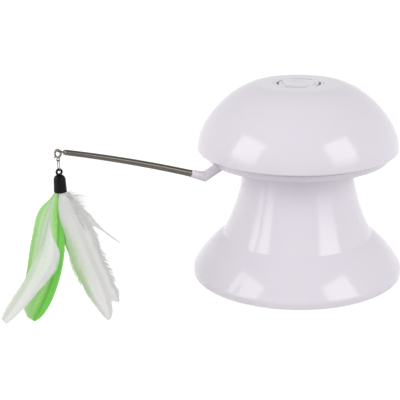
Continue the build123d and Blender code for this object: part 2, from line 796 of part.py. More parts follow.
def spindle_column():
    """Hollow column from the gear deck to the board tray."""
    section = Polyline(
        (COLUMN_BORE_R, DECK_LOW - COLUMN_FLANGE_H),
        (COLUMN_FLANGE_R, DECK_LOW - COLUMN_FLANGE_H),
        (COLUMN_FLANGE_R, DECK_LOW),
        (COLUMN_STEP_R, DECK_LOW),
        (COLUMN_STEP_R, WASHER_LOW),
        (COLUMN_R, WASHER_LOW),
        (COLUMN_R, TRAY_LOW),
        (COLUMN_NECK_R, TRAY_LOW),
        (COLUMN_NECK_R, TRAY_TOP + NUT_H),
        (COLUMN_BORE_R, TRAY_TOP + NUT_H),
        close=True,
    )
    column = turned(make_face(section))
    for angle in spread(COLUMN_SCREWS, COLUMN_SCREW_DEG):
        at = polar(COLUMN_SCREW_OUT, angle)
        column -= disc(MOTOR_SCREW_R + RUN_CLEAR, DECK_LOW - COLUMN_FLANGE_H, DECK_LOW, at)
    return column


def column_screws():
    """Small screws that hold the column's flange under the deck."""
    head_h = DECK_T / 2 - SCREW_CLEAR
    low = DECK_LOW - COLUMN_FLANGE_H - head_h
    length = COLUMN_FLANGE_H + DECK_T - 2 * SCREW_CLEAR
    places = [polar(COLUMN_SCREW_OUT, angle) for angle in spread(COLUMN_SCREWS, COLUMN_SCREW_DEG)]
    return group(screw(at, low, head_h, MOTOR_SCREW_R, length, COLUMN_HEAD_R) for at in places)


def thrust_washer():
    """Slip washer between the column's step and the hub."""
    return ring(WASHER_R, COLUMN_R + RUN_CLEAR, WASHER_LOW, WASHER_LOW + WASHER_T)


def hub_bush():
    """Bearing bush of the dish on the column."""
    return ring(BUSH_R, COLUMN_R + RUN_CLEAR, HUB_LOW, HUB_TOP)


def wire_loom():
    """Leads from the battery bay up the column to the board."""
    return disc(LOOM_R, BAY_TOP, BOARD_LOW)


def dish_outline():
    """Underside of the dish from the hub to the rim's top."""
    return Wire(Polyline(
        (BUSH_R, DISH_UNDER),
        (NECK_COLLAR_R + DISH_FLAT_OUT, DISH_UNDER),
        (DISH_LOW_R, DISH_LOW),
        (DISH_R, DISH_TOP),
    ).edges())


def dish_space():
    """Everything above the dish's underside, to trim what stands in it."""
    top = HUB_TOP + DISH_R
    close = Polyline((DISH_R, DISH_TOP), (DISH_R, top), (0, top), (0, DISH_UNDER), (BUSH_R, DISH_UNDER))
    return turned(make_face(dish_outline().edges() + close.edges()))


def arm_axis(from_point):
    """Plane across the elbow's first leg, looking outward, at a point of the arm plane."""
    return Plane(
        origin=ARM_PLANE.from_local_coords(from_point),
        x_dir=(0, 1, 0),
        z_dir=ARM_PLANE.from_local_coords(LEG_1_WAY),
    )


def laser_plane():
    """Plane across the laser's beam where it leaves the dish, looking up the barrel."""
    tilt = math.radians(LASER_TILT_DEG)
    flat_r = NECK_COLLAR_R + DISH_FLAT_OUT
    rise = DISH_RISE * (LASER_OUT - flat_r) / (DISH_LOW_R - flat_r)
    return Plane(
        origin=(LASER_OUT, 0, DISH_UNDER + rise),
        x_dir=(0, 1, 0),
        z_dir=(-math.sin(tilt), 0, math.cos(tilt)),
    )


LENS_LOW = 2 * DISH_WALL
BARREL_LOW = LENS_LOW + LENS_T
BARREL_HOLD = 0.6 * LASER_LEN


def turntable_dish():
    """Turning dish with its hub, the arm's slot and socket, and the laser's cradle."""
    dish = turned(make_face(dish_outline().offset_2d(DISH_WALL, side=Side.LEFT)))
    low_edges = dish.edges().filter_by(GeomType.CIRCLE).filter_by(
        lambda edge: abs(edge.radius - DISH_LOW_R) < 0.01 and abs(edge.center().Z - DISH_LOW) < 0.01
    )
    dish = fillet(low_edges, DISH_EDGE_FILLET)
    dish += ring(HUB_R, BUSH_R, HUB_LOW, HUB_TOP)

    socket_r = ELBOW_PLUG_R + SOCKET_WALL
    block = extrude(Circle(socket_r), ELBOW_PLUG_LEN)
    block += extrude(Pos(0, -socket_r) * Rectangle(2 * socket_r, 2 * socket_r), ELBOW_PLUG_LEN)
    socket = arm_axis(SHOULDER - LEG_1_WAY * ELBOW_PLUG_LEN) * block
    socket += socket_foot(socket_r)
    cradle = laser_plane() * Pos(0, 0, -LENS_LOW) * extrude(
        Circle(LASER_R + LASER_WALL), LENS_LOW + BARREL_LOW + BARREL_HOLD
    )
    space = dish_space()
    dish += socket & space
    dish += cradle & space

    slot_r = ELBOW_R + SLOT_SIDE_GAP
    slot_len = ELBOW_SHOULDER_IN + ELBOW_LEG_1
    slot = extrude(Circle(slot_r) + Pos(0, slot_len / 2) * Rectangle(2 * slot_r, slot_len), slot_len)
    dish -= arm_axis(SHOULDER) * slot
    plug_bore = extrude(Circle(ELBOW_PLUG_R), ELBOW_PLUG_LEN)
    dish -= arm_axis(SHOULDER - LEG_1_WAY * ELBOW_PLUG_LEN) * plug_bore
    dish -= laser_plane() * Pos(0, 0, -2 * LENS_LOW) * extrude(Circle(LASER_HOLE_R), 3 * LENS_LOW)
    dish -= laser_plane() * Pos(0, 0, LENS_LOW) * extrude(Circle(LENS_R), LENS_T)
    dish -= laser_plane() * Pos(0, 0, BARREL_LOW) * extrude(Circle(LASER_R), LASER_LEN)
    return dish


def socket_foot(socket_r):
    """Pedestal under the arm's socket, standing on the dish floor."""
    inner = SHOULDER - LEG_1_WAY * ELBOW_PLUG_LEN
    width = SHOULDER.X - inner.X
    plan = Pos(-(inner.X + width / 2), 0) * Rectangle(width, 2 * socket_r)
    return Pos(0, 0, DISH_UNDER) * extrude(plan, SHOULDER.Y - DISH_UNDER)


def laser_module():
    """Laser barrel with a narrower connector end."""
    barrel = extrude(Circle(LASER_R), LASER_LEN)
    barrel += Pos(0, 0, LASER_LEN) * extrude(Circle(LASER_R - LASER_WALL), LASER_WALL)
    return laser_plane() * Pos(0, 0, BARREL_LOW) * barrel


def laser_lens():
    """Clear disc in front of the laser barrel."""
    return laser_plane() * Pos(0, 0, LENS_LOW) * extrude(Circle(LENS_R), LENS_T)


def slip_ring():
    """Collar on the column with a flange for the contact tracks."""
    flange_low = SLIP_LOW + TRACK_T
    collar = ring(SLIP_DISC_R, COLUMN_R, flange_low, flange_low + SLIP_DISC_T)
    return collar + ring(COLUMN_R + SLIP_HUB_WALL, COLUMN_R, flange_low, flange_low + SLIP_HUB_H)


def track_radii():
    """Inner radii of the two contact tracks."""
    return [TRACK_IN_R, TRACK_IN_R + TRACK_STEP]


def slip_tracks():
    """Brass rings under the slip ring's flange."""
    return group(ring(r + TRACK_W, r, SLIP_LOW, SLIP_LOW + TRACK_T) for r in track_radii())


def brush_contacts():
    """Bent spring strips on the dish that touch the tracks."""
    height = SLIP_LOW - BRUSH_GAP - DISH_FLOOR
    half = BRUSH_T / 2
    bends = Polyline((BRUSH_FOOT, half), (0, half), (0, height - half), (-BRUSH_FOOT / 2, height - half))
    strip = trace(bends, BRUSH_T)
    brushes = []
    for side, radius in zip((-1, 1), track_radii()):
        foot = (0, side * (radius + TRACK_W / 2), DISH_FLOOR)
        plane = Plane(origin=foot, x_dir=(1, 0, 0), z_dir=(0, -1, 0))
        brushes.append(plane * Pos(0, 0, -TRACK_W / 2) * extrude(strip, TRACK_W))
    return group(brushes)


def dome_block(inset):
    """Solid cap with a flat crown and rounded sides, shrunk by an inset."""
    top = DOME_TOP - inset
    side = DOME_R - inset
    arch = Bezier(
        (DOME_FLAT_R, top),
        (DOME_FLAT_R + DOME_CROWN_SHARE * (side - DOME_FLAT_R), top),
        (side, DOME_MID + DOME_SIDE_SHARE * (top - DOME_MID)),
        (side, DOME_MID),
    )
    close = Polyline(arch @ 1, (0, DOME_MID), (0, top), arch @ 0)
    return turned(make_face([arch] + close.edges()))


def dome_shell():
    """Cap with a rolled lip, a seat for the bezel and three posts to the tray."""
    lip_in_r = DISH_R - DOME_LIP_W
    roll = EllipticalCenterArc((DISH_R, DOME_MID), DOME_R - DISH_R, DOME_LIP_H, 270, arc_size=90)
    close = Polyline(roll @ 1, (lip_in_r, DOME_MID), (lip_in_r, DOME_LOW), roll @ 0)
    dome = dome_block(0) - dome_block(DOME_WALL)
    dome += turned(make_face([roll] + close.edges()))
    inner = dome_block(DOME_WALL / 2)
    for angle in spread(DOME_POSTS, DOME_POST_DEG):
        at = polar(DOME_POST_OUT, angle)
        dome += disc(DOME_POST_R, TRAY_TOP, DOME_TOP, at) & inner
        dome -= disc(SCREW_HOLE_R, TRAY_TOP, TRAY_TOP + SCREW_LEN, at)
    dome -= disc(BEZEL_R - BEZEL_LEDGE, BEZEL_SEAT - DOME_WALL * 2, DOME_TOP)
    dome -= disc(BEZEL_R + FIT_CLEAR, BEZEL_SEAT, DOME_TOP)
    return dome


def button_bezel():
    """Ring round the button, pierced by arc slots."""
    section = Polyline(
        (BEZEL_BORE_R, BEZEL_SEAT),
        (BEZEL_R, BEZEL_SEAT),
        (BEZEL_R, DOME_TOP),
        (BEZEL_BORE_R, DOME_TOP),
        close=True,
    )
    bezel = turned(make_face(section))
    for angle in spread(SLOTS, SLOT_DEG):
        start = angle - SLOT_SWEEP_DEG / 2
        arc = CenterArc((0, 0), SLOT_R, start, SLOT_SWEEP_DEG)
        slot = SlotArc(arc, SLOT_W)
        bezel -= Pos(0, 0, BEZEL_SEAT) * extrude(slot, DOME_TOP - BEZEL_SEAT)
    return bezel


def light_ring():
    """Smoked ring under the bezel that shows through its slots."""
    inner = BUTTON_FLANGE_R + 2 * FIT_CLEAR
    outer = BEZEL_R - BEZEL_LEDGE - FIT_CLEAR
    return ring(outer, inner, BEZEL_SEAT - LIGHT_RING_T, BEZEL_SEAT)


def mode_button():
    """Hollow press button with a dished top, a flange and a stem to the switch."""
    roof = BUTTON_TOP - BUTTON_T
    section = Polyline(
        (0, PLUNGER_TOP),
        (BUTTON_STEM_R, PLUNGER_TOP),
        (BUTTON_STEM_R, roof),
        (BUTTON_R - BUTTON_WALL, roof),
        (BUTTON_R - BUTTON_WALL, BUTTON_LOW),
        (BUTTON_FLANGE_R, BUTTON_LOW),
        (BUTTON_FLANGE_R, BUTTON_LOW + BUTTON_FLANGE_T),
        (BUTTON_R, BUTTON_LOW + BUTTON_FLANGE_T),
        (BUTTON_R, BUTTON_TOP - BUTTON_PROUD / 2),
        (BUTTON_R - BUTTON_PROUD / 2, BUTTON_TOP),
        (0, BUTTON_TOP),
        close=True,
    )
    button = turned(make_face(section))
    round_r = (BUTTON_DISH_HALF ** 2 + BUTTON_DISH_DEEP ** 2) / (2 * BUTTON_DISH_DEEP)
    return button - Pos(0, 0, BUTTON_TOP - BUTTON_DISH_DEEP + round_r) * Sphere(round_r)


def switch_plunger():
    """Plunger of the tact switch, moved by the button's stem."""
    return disc(PLUNGER_R, SWITCH_TOP - PLUNGER_IN, PLUNGER_TOP)


def tact_switch():
    """Square switch housing with a bore for the plunger."""
    housing = Pos(0, 0, BOARD_TOP) * extrude(Rectangle(SWITCH_W, SWITCH_W), SWITCH_H)
    bore_low = SWITCH_TOP - PLUNGER_IN - BUTTON_TRAVEL - SCREW_CLEAR
    return housing - disc(PLUNGER_R + RUN_CLEAR, bore_low, SWITCH_TOP)


def control_board():
    """Round circuit board on the tray's standoffs."""
    return disc(BOARD_R, BOARD_LOW, BOARD_TOP)


def board_tray():
    """Plate on the column's top with standoffs for the board and holes for the dome's screws."""
    tray = disc(TRAY_R, TRAY_LOW, TRAY_TOP)
    for angle in spread(STANDOFF_COUNT):
        tray += disc(STANDOFF_R, TRAY_TOP, BOARD_LOW, polar(STANDOFF_OUT, angle))
    for angle in spread(DOME_POSTS, DOME_POST_DEG):
        tray -= disc(SCREW_HOLE_R, TRAY_LOW, TRAY_TOP, polar(DOME_POST_OUT, angle))
    return tray - disc(COLUMN_NECK_R + RUN_CLEAR, TRAY_LOW, TRAY_TOP)


def tray_screws():
    """Screws from the tray up into the dome's posts."""
    length = TRAY_T + SCREW_LEN - SCREW_CLEAR
    places = [polar(DOME_POST_OUT, angle) for angle in spread(DOME_POSTS, DOME_POST_DEG)]
    return group(screw(at, TRAY_LOW - HEAD_H, HEAD_H, SCREW_R, length, HEAD_R) for at in places)


def tray_nut():
    """Ring nut that clamps the tray to the column."""
    face = RegularPolygon(NUT_R, 6) - Circle(COLUMN_NECK_R + RUN_CLEAR)
    return Pos(0, 0, TRAY_TOP) * extrude(face, NUT_H)


def arm_elbow():
    """Moulded elbow: a plug, a mitred corner and a tapered leg that takes the rod."""
    reach = 2 * ELBOW_R
    leg_1_len = ELBOW_SHOULDER_IN + ELBOW_LEG_1
    leg_1 = arm_axis(SHOULDER) * extrude(Circle(ELBOW_R), leg_1_len + reach)
    taper = (ELBOW_R - ELBOW_MOUTH_R) / ELBOW_LEG_2
    back = Plane(
        origin=ARM_PLANE.from_local_coords(MOUTH),
        x_dir=(0, 1, 0),
        z_dir=ARM_PLANE.from_local_coords(LEG_2_WAY * -1),
    )
    leg_2_len = ELBOW_LEG_2 + reach
    leg_2 = back * Cone(
        ELBOW_MOUTH_R,
        ELBOW_MOUTH_R + taper * leg_2_len,
        leg_2_len,
        align=(Align.CENTER, Align.CENTER, Align.MIN),
    )
    mitre = Plane(
        origin=ARM_PLANE.from_local_coords(CORNER),
        x_dir=(0, 1, 0),
        z_dir=ARM_PLANE.from_local_coords(LEG_1_WAY + LEG_2_WAY),
    )
    elbow = split(leg_1, bisect_by=mitre, keep=Keep.BOTTOM)
    elbow += split(leg_2, bisect_by=mitre, keep=Keep.TOP)
    plug = extrude(Circle(ELBOW_PLUG_R), ELBOW_PLUG_LEN)
    elbow += arm_axis(SHOULDER - LEG_1_WAY * ELBOW_PLUG_LEN) * plug
    return elbow - back * extrude(Circle(CORE_R), ROD_PLUG_LEN)


def spring_core():
    """Stiffening wire inside the spring rod, from the elbow to the rod's end."""
    root = MOUTH - LEG_2_WAY * ROD_PLUG_LEN
    path = Wire([ARM_PLANE * Line(root, MOUTH), ARM_PLANE * ROD_LINE])
    section = Plane(origin=path @ 0, z_dir=path % 0) * Circle(CORE_R)
    return sweep(section, path)


def arm_spring():
    """Tapered spring wound along the rod, between the elbow's mouth and the ferrule."""
    line = ARM_PLANE * ROD_LINE
    side = Vector(0, 1, 0)

    def axis_at(share):
        way = line % share
        return line @ share, way, side

    def radius_at(share):
        return COIL_ROOT_R + (COIL_TIP_R - COIL_ROOT_R) * share

    edges = coil_edges(axis_at, radius_at, ROD_LEN, COIL_TURNS, COIL_END_LEN, COIL_WIRE)
    print("rod spring gap", round(least_gap(edges, COIL_WIRE), 3))
    return wound_tube(edges, COIL_WIRE)


def rod_eye():
    """Ferrule on the rod's end with a wire eye, flat in the plane of the rod and Y."""
    tip_way = ARM_PLANE.from_local_coords(TIP_WAY)
    along = Plane(origin=ARM_PLANE.from_local_coords(ROD_TIP), x_dir=(0, 1, 0), z_dir=tip_way)
    ferrule = along * extrude(Circle(FERRULE_R), FERRULE_LEN)
    flat = Plane(
        origin=ARM_PLANE.from_local_coords(ROD_EYE_AT),
        x_dir=tip_way,
        z_dir=tip_way.cross(Vector(0, 1, 0)),
    )
    return ferrule + flat * Torus(ROD_EYE_R, ROD_EYE_WIRE_R)


def claw_point(degrees, half_w, half_h):
    """Point on an ellipse about the claw's centre."""
    turn = math.radians(degrees)
    return Vector(HANG.X + half_w * math.cos(turn), CLAW_Z + half_h * math.sin(turn))


def claw_sector(start_deg, end_deg):
    """Wedge of the claw's ring between two angles."""
    reach = 3
    centre = Vector(HANG.X, CLAW_Z)
    first = centre + (claw_point(start_deg, CLASP_HALF_W, CLASP_HALF_H) - centre) * reach
    last = centre + (claw_point(end_deg, CLASP_HALF_W, CLASP_HALF_H) - centre) * reach
    return make_face(Polyline(centre, first, last, close=True))


def claw_ring():
    """Flat oval of the claw."""
    oval = Ellipse(CLASP_HALF_W, CLASP_HALF_H) - Ellipse(CLAW_IN_W, CLAW_IN_H)
    return Pos(HANG.X, CLAW_Z) * oval


def across(face, thickness):
    """Plate of the arm plane, centred on it."""
    return ARM_PLANE * Pos(0, 0, -thickness / 2) * extrude(face, thickness)


def gate_pivot():
    """Centre of the gate's pin, in the middle of the claw's bar."""
    bar = CLASP_BAR / 2
    return claw_point(GATE_PIVOT_DEG, CLASP_HALF_W - bar, CLASP_HALF_H - bar)


def gate_sweep(clear):
    """Disc about the gate's pin that its tip sweeps, on the gate's side of the claw."""
    pivot = gate_pivot()
    bar = CLASP_BAR / 2
    reach = (claw_point(GATE_TOP_DEG, CLASP_HALF_W - bar, CLASP_HALF_H - bar) - pivot).length
    return Pos(pivot.X, pivot.Y) * Circle(reach + clear) & claw_sector(GATE_PIVOT_DEG, GATE_WIDE_DEG)


def clasp_body():
    """Lobster claw with a forked side for its gate and an eye below."""
    mouth = gate_sweep(GATE_END_GAP) & claw_sector(GATE_LOW_DEG, GATE_WIDE_DEG)
    body = across(claw_ring() - mouth, CLASP_T)
    fork = claw_sector(GATE_END_DEG, GATE_LOW_DEG)
    body -= across(fork, GATE_T + 2 * GATE_SIDE_GAP)
    pivot = gate_pivot()
    body -= across(Pos(pivot.X, pivot.Y) * Circle(GATE_PIN_R), CLASP_T)
    return body + ARM_PLANE * Pos(HANG.X, CLASP_EYE_Z, 0) * Torus(CLASP_EYE_R, CLASP_EYE_WIRE_R)


def clasp_gate():
    """Spring lever that closes the claw, with a thumb tab."""
    pivot = gate_pivot()
    outward_way = (pivot - Vector(HANG.X, CLAW_Z)).normalized()
    tab_turn = math.degrees(math.atan2(outward_way.Y, outward_way.X))
    tab = Rectangle(GATE_TAB_LEN + CLASP_BAR / 2, GATE_TAB_H, align=(Align.MIN, Align.CENTER))
    face = claw_ring() & gate_sweep(0)
    face += Pos(pivot.X, pivot.Y) * Circle(GATE_KNUCKLE_R)
    face += Pos(pivot.X, pivot.Y) * Rot(0, 0, tab_turn) * tab
    face -= Pos(pivot.X, pivot.Y) * Circle(GATE_HOLE_R)
    return across(face, GATE_T)


def clasp_pin():
    """Rivet of the gate."""
    pivot = gate_pivot()
    return across(Pos(pivot.X, pivot.Y) * Circle(GATE_PIN_R), CLASP_T)


def jump_ring():
    """Oval wire ring that joins the clasp to the feather cap."""
    half = RING_STRAIGHT / 2
    path = Wire([
        Line((RING_R, -half), (RING_R, half)),
        ThreePointArc((RING_R, half), (0, half + RING_R), (-RING_R, half)),
        Line((-RING_R, half), (-RING_R, -half)),
        ThreePointArc((-RING_R, -half), (0, -half - RING_R), (RING_R, -half)),
    ])
    centre = Vector(-HANG.X, 0, (RING_TOP + RING_LOW) / 2)
    plane = Plane(origin=centre, x_dir=(0, 1, 0), z_dir=(1, 0, 0))
    section = Plane(origin=path @ 0, z_dir=path % 0) * Circle(RING_WIRE_R)
    return plane * sweep(section, path)


def feather_cap():
    """Rubber cap over the quills, with an eye on top."""
    side_r = CAP_R - CAP_TAPER
    inside = Polyline(
        (CAP_R - CAP_LIP, CAP_MOUTH),
        (CAP_R - CAP_WALL, CAP_MOUTH),
        (CAP_R - CAP_WALL, CAP_TOP - CAP_ROOF),
        (0, CAP_TOP - CAP_ROOF),
        (0, CAP_TOP),
        (side_r - CAP_SHOULDER, CAP_TOP),
    )
    shoulder = TangentArc(
        (side_r - CAP_SHOULDER, CAP_TOP), (side_r, CAP_TOP - CAP_SHOULDER), tangent=(1, 0)
    )
    flank = Line((side_r, CAP_TOP - CAP_SHOULDER), (CAP_R, CAP_MOUTH + CAP_LIP))
    lip = TangentArc((CAP_R, CAP_MOUTH + CAP_LIP), (CAP_R - CAP_LIP, CAP_MOUTH), tangent=(0, -1))
    cap = turned(make_face(inside.edges() + [shoulder, flank, lip]))
    eye = Pos(0, 0, CAP_EYE_Z) * Rot(90, 0, 0) * Torus(CAP_EYE_R, CAP_EYE_TUBE_R)
    return Pos(-HANG.X, 0, 0) * (cap + eye)


# Each feather: its quill's root, two pulls and its tip, as across, towards the front, up, from the
# middle of the cap's mouth, then its vane's width, how far the widest place leans to the tip, and how
# pointed its ends are
FEATHERS = {
    "feather_green_left": (
        (-2.4, -0.6, 0), (-18.4, -1.6, -23.1), (-16.3, -4, -46.1), (-30.4, -6.5, -69.2), 12.5, 0.95, 0.75,
    ),
    "feather_white_left": (
        (-1.6, 2.3, 0), (-9.3, 4.6, -33.8), (-12.4, 9, -66.2), (-40.9, 14, -89.1), 13.5, 1.5, 0.65,
    ),
    "feather_green_middle": (
        (-0.6, 0.8, 0), (-1.4, 1.8, -33.8), (-4.3, 5, -60.9), (-22.5, 8.5, -90.2), 17, 2.4, 0.6,
    ),
    "feather_green_back": (
        (0.9, 0.3, 0), (-1.9, 0.4, -27), (7.4, 0.8, -49.6), (16.4, 1.5, -73.2), 8, 1.2, 0.8,
    ),
    "feather_white_right": (
        (1.5, 2.2, 0), (4.6, 3.6, -31), (19.1, 7.2, -58.8), (29.5, 11, -88.3), 17, 1.2, 0.6,
    ),
    "feather_white_outer": (
        (2.4, -1, 0), (14.2, -2.6, -25.7), (17.1, -5.6, -58), (33.5, -9, -84), 16, 1.2, 0.65,
    ),
    "feather_white_short": (
        (1, -2.6, 0), (10, -5.2, -16), (22.4, -9, -28.9), (36.1, -11.5, -40.7), 9, 0.8, 1.1,
    ),
}
FAN = Plane(
    origin=(-HANG.X, 0, CAP_MOUTH),
    x_dir=Vector(1, 0, 0).rotate(Axis.Z, FAN_TURN_DEG),
    z_dir=(0, 0, 1),
)
FACING = Vector(0, -1, 0).rotate(Axis.Z, FAN_TURN_DEG)


def fan_point(place):
    """Point of the feather fan, given as across, towards the front, up."""
    across_by, front_by, up_by = place
    return FAN.from_local_coords((across_by, -front_by, up_by))


def vane_section(at, way, width, thickness, cup):
    """Thin cupped section across a quill."""
    side = FACING.cross(way).normalized()
    edge = min(thickness, VANE_EDGE_T) / 2
    half = width / 2
    outline = [
        ThreePointArc((-half, -edge), (0, cup - thickness / 2), (half, -edge)),
        Line((half, -edge), (half, edge)),
        ThreePointArc((half, edge), (0, cup + thickness / 2), (-half, edge)),
        Line((-half, edge), (-half, -edge)),
    ]
    return Plane(origin=at, x_dir=side, z_dir=way) * make_face(outline)


def feather(root, pull_1, pull_2, tip, vane_w, lean, point):
    """Feather blade lofted along a cubic curve, with its quill up in the cap."""
    bones = [fan_point(place) for place in (root, pull_1, pull_2, tip)]

    def at(t):
        weights = ((1 - t) ** 3, 3 * t * (1 - t) ** 2, 3 * t * t * (1 - t), t ** 3)
        return sum((bone * weight for bone, weight in zip(bones, weights)), Vector(0, 0, 0))

    def way_at(t):
        step = 0.001
        return (at(t + step) - at(t - step)).normalized()

    down = Vector(0, 0, -1)
    seat = bones[0] + Vector(0, 0, CAP_TOP - CAP_ROOF - CAP_MOUTH)
    sections = [
        vane_section(seat, down, QUILL_W, QUILL_T, 0),
        vane_section(bones[0], down, QUILL_W, QUILL_T, 0),
    ]
    for station in range(1, VANE_STATIONS + 1):
        t = VANE_END_SHARE * (1 - (1 - station / VANE_STATIONS) ** VANE_CROWD_POWER)
        width = max(QUILL_W, vane_w * math.sin(math.pi * t ** lean) ** point)
        sections.append(vane_section(at(t), way_at(t), width, VANE_T, VANE_CUP_SHARE * width))
    return loft(sections)


PARTS = {
    "base_shell": base_shell,
    "base_cover": base_cover,
    "foot_ring": foot_ring,
    "cover_screws": cover_screws,
    "battery_door": battery_door,
    "door_screw": door_screw,
    "aa_cells": aa_cells,
    "battery_contacts": battery_contacts,
    "cell_springs": cell_springs,
    "gear_deck": gear_deck,
    "deck_screws": deck_screws,
    "gear_motor": gear_motor,
    "motor_screws": motor_screws,
    "motor_pinion": motor_pinion,
    "compound_gear": compound_gear,
    "gear_axle": gear_axle,
    "turntable_gear": turntable_gear,
    "spindle_column": spindle_column,
    "column_screws": column_screws,
    "thrust_washer": thrust_washer,
    "hub_bush": hub_bush,
    "wire_loom": wire_loom,
    "turntable_dish": turntable_dish,
    "laser_module": laser_module,
    "laser_lens": laser_lens,
    "slip_ring": slip_ring,
    "slip_tracks": slip_tracks,
    "brush_contacts": brush_contacts,
    "dome_shell": dome_shell,
    "button_bezel": button_bezel,
    "light_ring": light_ring,
    "mode_button": mode_button,
    "switch_plunger": switch_plunger,
    "tact_switch": tact_switch,
    "control_board": control_board,
    "board_tray": board_tray,
    "tray_screws": tray_screws,
    "tray_nut": tray_nut,
    "arm_elbow": arm_elbow,
    "spring_core": spring_core,
    "arm_spring": arm_spring,
    "rod_eye": rod_eye,
    "clasp_body": clasp_body,
    "clasp_gate": clasp_gate,
    "clasp_pin": clasp_pin,
    "jump_ring": jump_ring,
    "feather_cap": feather_cap,
}

os.makedirs("parts", exist_ok=True)
for name, make in PARTS.items():
    export_step(make(), f"parts/{name}.step")
for name, shape in FEATHERS.items():
    export_step(feather(*shape), f"parts/{name}.step")
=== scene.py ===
"""Looks of the cat toy: glossy ABS body, close-wound spring rod, nickel clasp and a feather tassel."""

import json
import math
import random

import bpy
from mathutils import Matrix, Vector


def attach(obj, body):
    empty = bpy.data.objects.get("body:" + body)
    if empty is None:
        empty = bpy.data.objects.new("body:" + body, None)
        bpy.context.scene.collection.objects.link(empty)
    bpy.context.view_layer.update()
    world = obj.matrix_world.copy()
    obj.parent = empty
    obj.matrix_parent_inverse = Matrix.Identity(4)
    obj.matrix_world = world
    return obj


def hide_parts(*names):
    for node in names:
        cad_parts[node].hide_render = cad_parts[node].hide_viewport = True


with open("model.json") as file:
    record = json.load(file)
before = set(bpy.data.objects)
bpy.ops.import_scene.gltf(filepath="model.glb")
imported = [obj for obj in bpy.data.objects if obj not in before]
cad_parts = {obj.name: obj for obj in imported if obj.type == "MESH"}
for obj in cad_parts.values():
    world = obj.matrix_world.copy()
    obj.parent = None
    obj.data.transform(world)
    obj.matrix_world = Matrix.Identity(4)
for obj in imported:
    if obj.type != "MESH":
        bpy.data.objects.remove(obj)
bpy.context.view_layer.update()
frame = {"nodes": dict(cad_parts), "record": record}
scene = bpy.context.scene
scene.view_settings.view_transform = "Standard"

MM = 0.001

# Photograph's camera: seen from the front left, a little from above
CAMERA_AT = Vector((-0.3829, -0.6156, 0.2970))
CAMERA_WAY = Vector((0.4744, 0.8217, -0.3158))
CAMERA_LENS = 90.0
CAMERA_SENSOR = 36.0
CAMERA_SHIFT = -0.166
CAMERA_NEAR = 0.01

# Softboxes: bearing and height in degrees as seen from the toy, width and height in metres, watts
AIM = Vector((0, 0, 0.07))
LAMP_REACH = 1.3
SOFTBOXES = {
    "left_softbox": (176, 19, 0.75, 1.15, 7.6),
    "right_softbox": (-68.8, 22, 0.7, 1.15, 7.4),
}
# share of a softbox's height over which its light rises from nothing at one edge
SOFTBOX_FADE = 0.45

# White studio: the walls' fill, what the ceiling keeps of it, and the floor's glow as the camera sees it
FILL_LIGHT = 0.78
CEILING_LIGHT = 0.55
# upward share of a direction, from where the walls end to where the ceiling is dimmest
CEILING_RISE = (0.03, 0.9)
FLOOR_GLOW = 0.72
FLOOR_HALF = 6.0

# Spring rod: distances out from the body's axis and heights, in millimetres
ROD_MOUTH = (89.773, 90.760)
ROD_RISE_DEG = 19.8
ROD_DROOP_DEG = 5.1
ROD_LEN = 95.0
COIL_OUT_ROOT = 2.5
COIL_OUT_TIP = 1.92
COIL_WIRE_R = 0.34
COIL_CREST = 0.093
COIL_TURNS = 141
COIL_STEPS = 24
# corners of the wire, outwards and towards the clasp, as shares of the crest and the half width
COIL_CORNERS = ((1, -0.5), (0, 1), (-1, 0), (0, -1))

# Feather tassel: each quill's root, two pulls and tip, in millimetres across, towards the front and up
# from the middle of the cap's mouth
CAP_MOUTH = Vector((-0.185402, 0, 0.092476))
FAN_TURN = math.radians(-30)
FAN_ACROSS = Vector((math.cos(FAN_TURN), math.sin(FAN_TURN), 0))
FAN_FRONT = Vector((math.sin(FAN_TURN), -math.cos(FAN_TURN), 0))
QUILLS = {
    "feather_green_left": (
        (-2.4, -0.6, 0), (-18.4, -1.6, -23.1), (-16.3, -4, -46.1), (-30.4, -6.5, -69.2),
    ),
    "feather_white_left": (
        (-1.6, 0.8, 0), (-9.3, 5.2, -33.8), (-12.4, 11, -66.2), (-40.9, 14, -89.1),
    ),
    "feather_green_middle": (
        (-0.9, 2.3, 0), (-1.4, 7, -33.8), (-4.3, 5, -60.9), (-22.5, 8.5, -90.2),
    ),
    "feather_green_back": (
        (0.9, 0.3, 0), (-1.9, 0.4, -27), (7.4, 0.8, -49.6), (16.4, 1.5, -73.2),
    ),
    "feather_white_right": (
        (1.5, 2.8, 0), (4.6, 5.6, -31), (19.1, 7.2, -58.8), (29.5, 11, -88.3),
    ),
    "feather_white_outer": (
        (2.4, -1, 0), (14.2, -2.6, -25.7), (17.1, -5.6, -58), (33.5, -9, -84),
    ),
    "feather_white_short": (
        (1, -2.6, 0), (10, -5.2, -16), (22.4, -9, -28.9), (36.1, -11.5, -40.7),
    ),
}
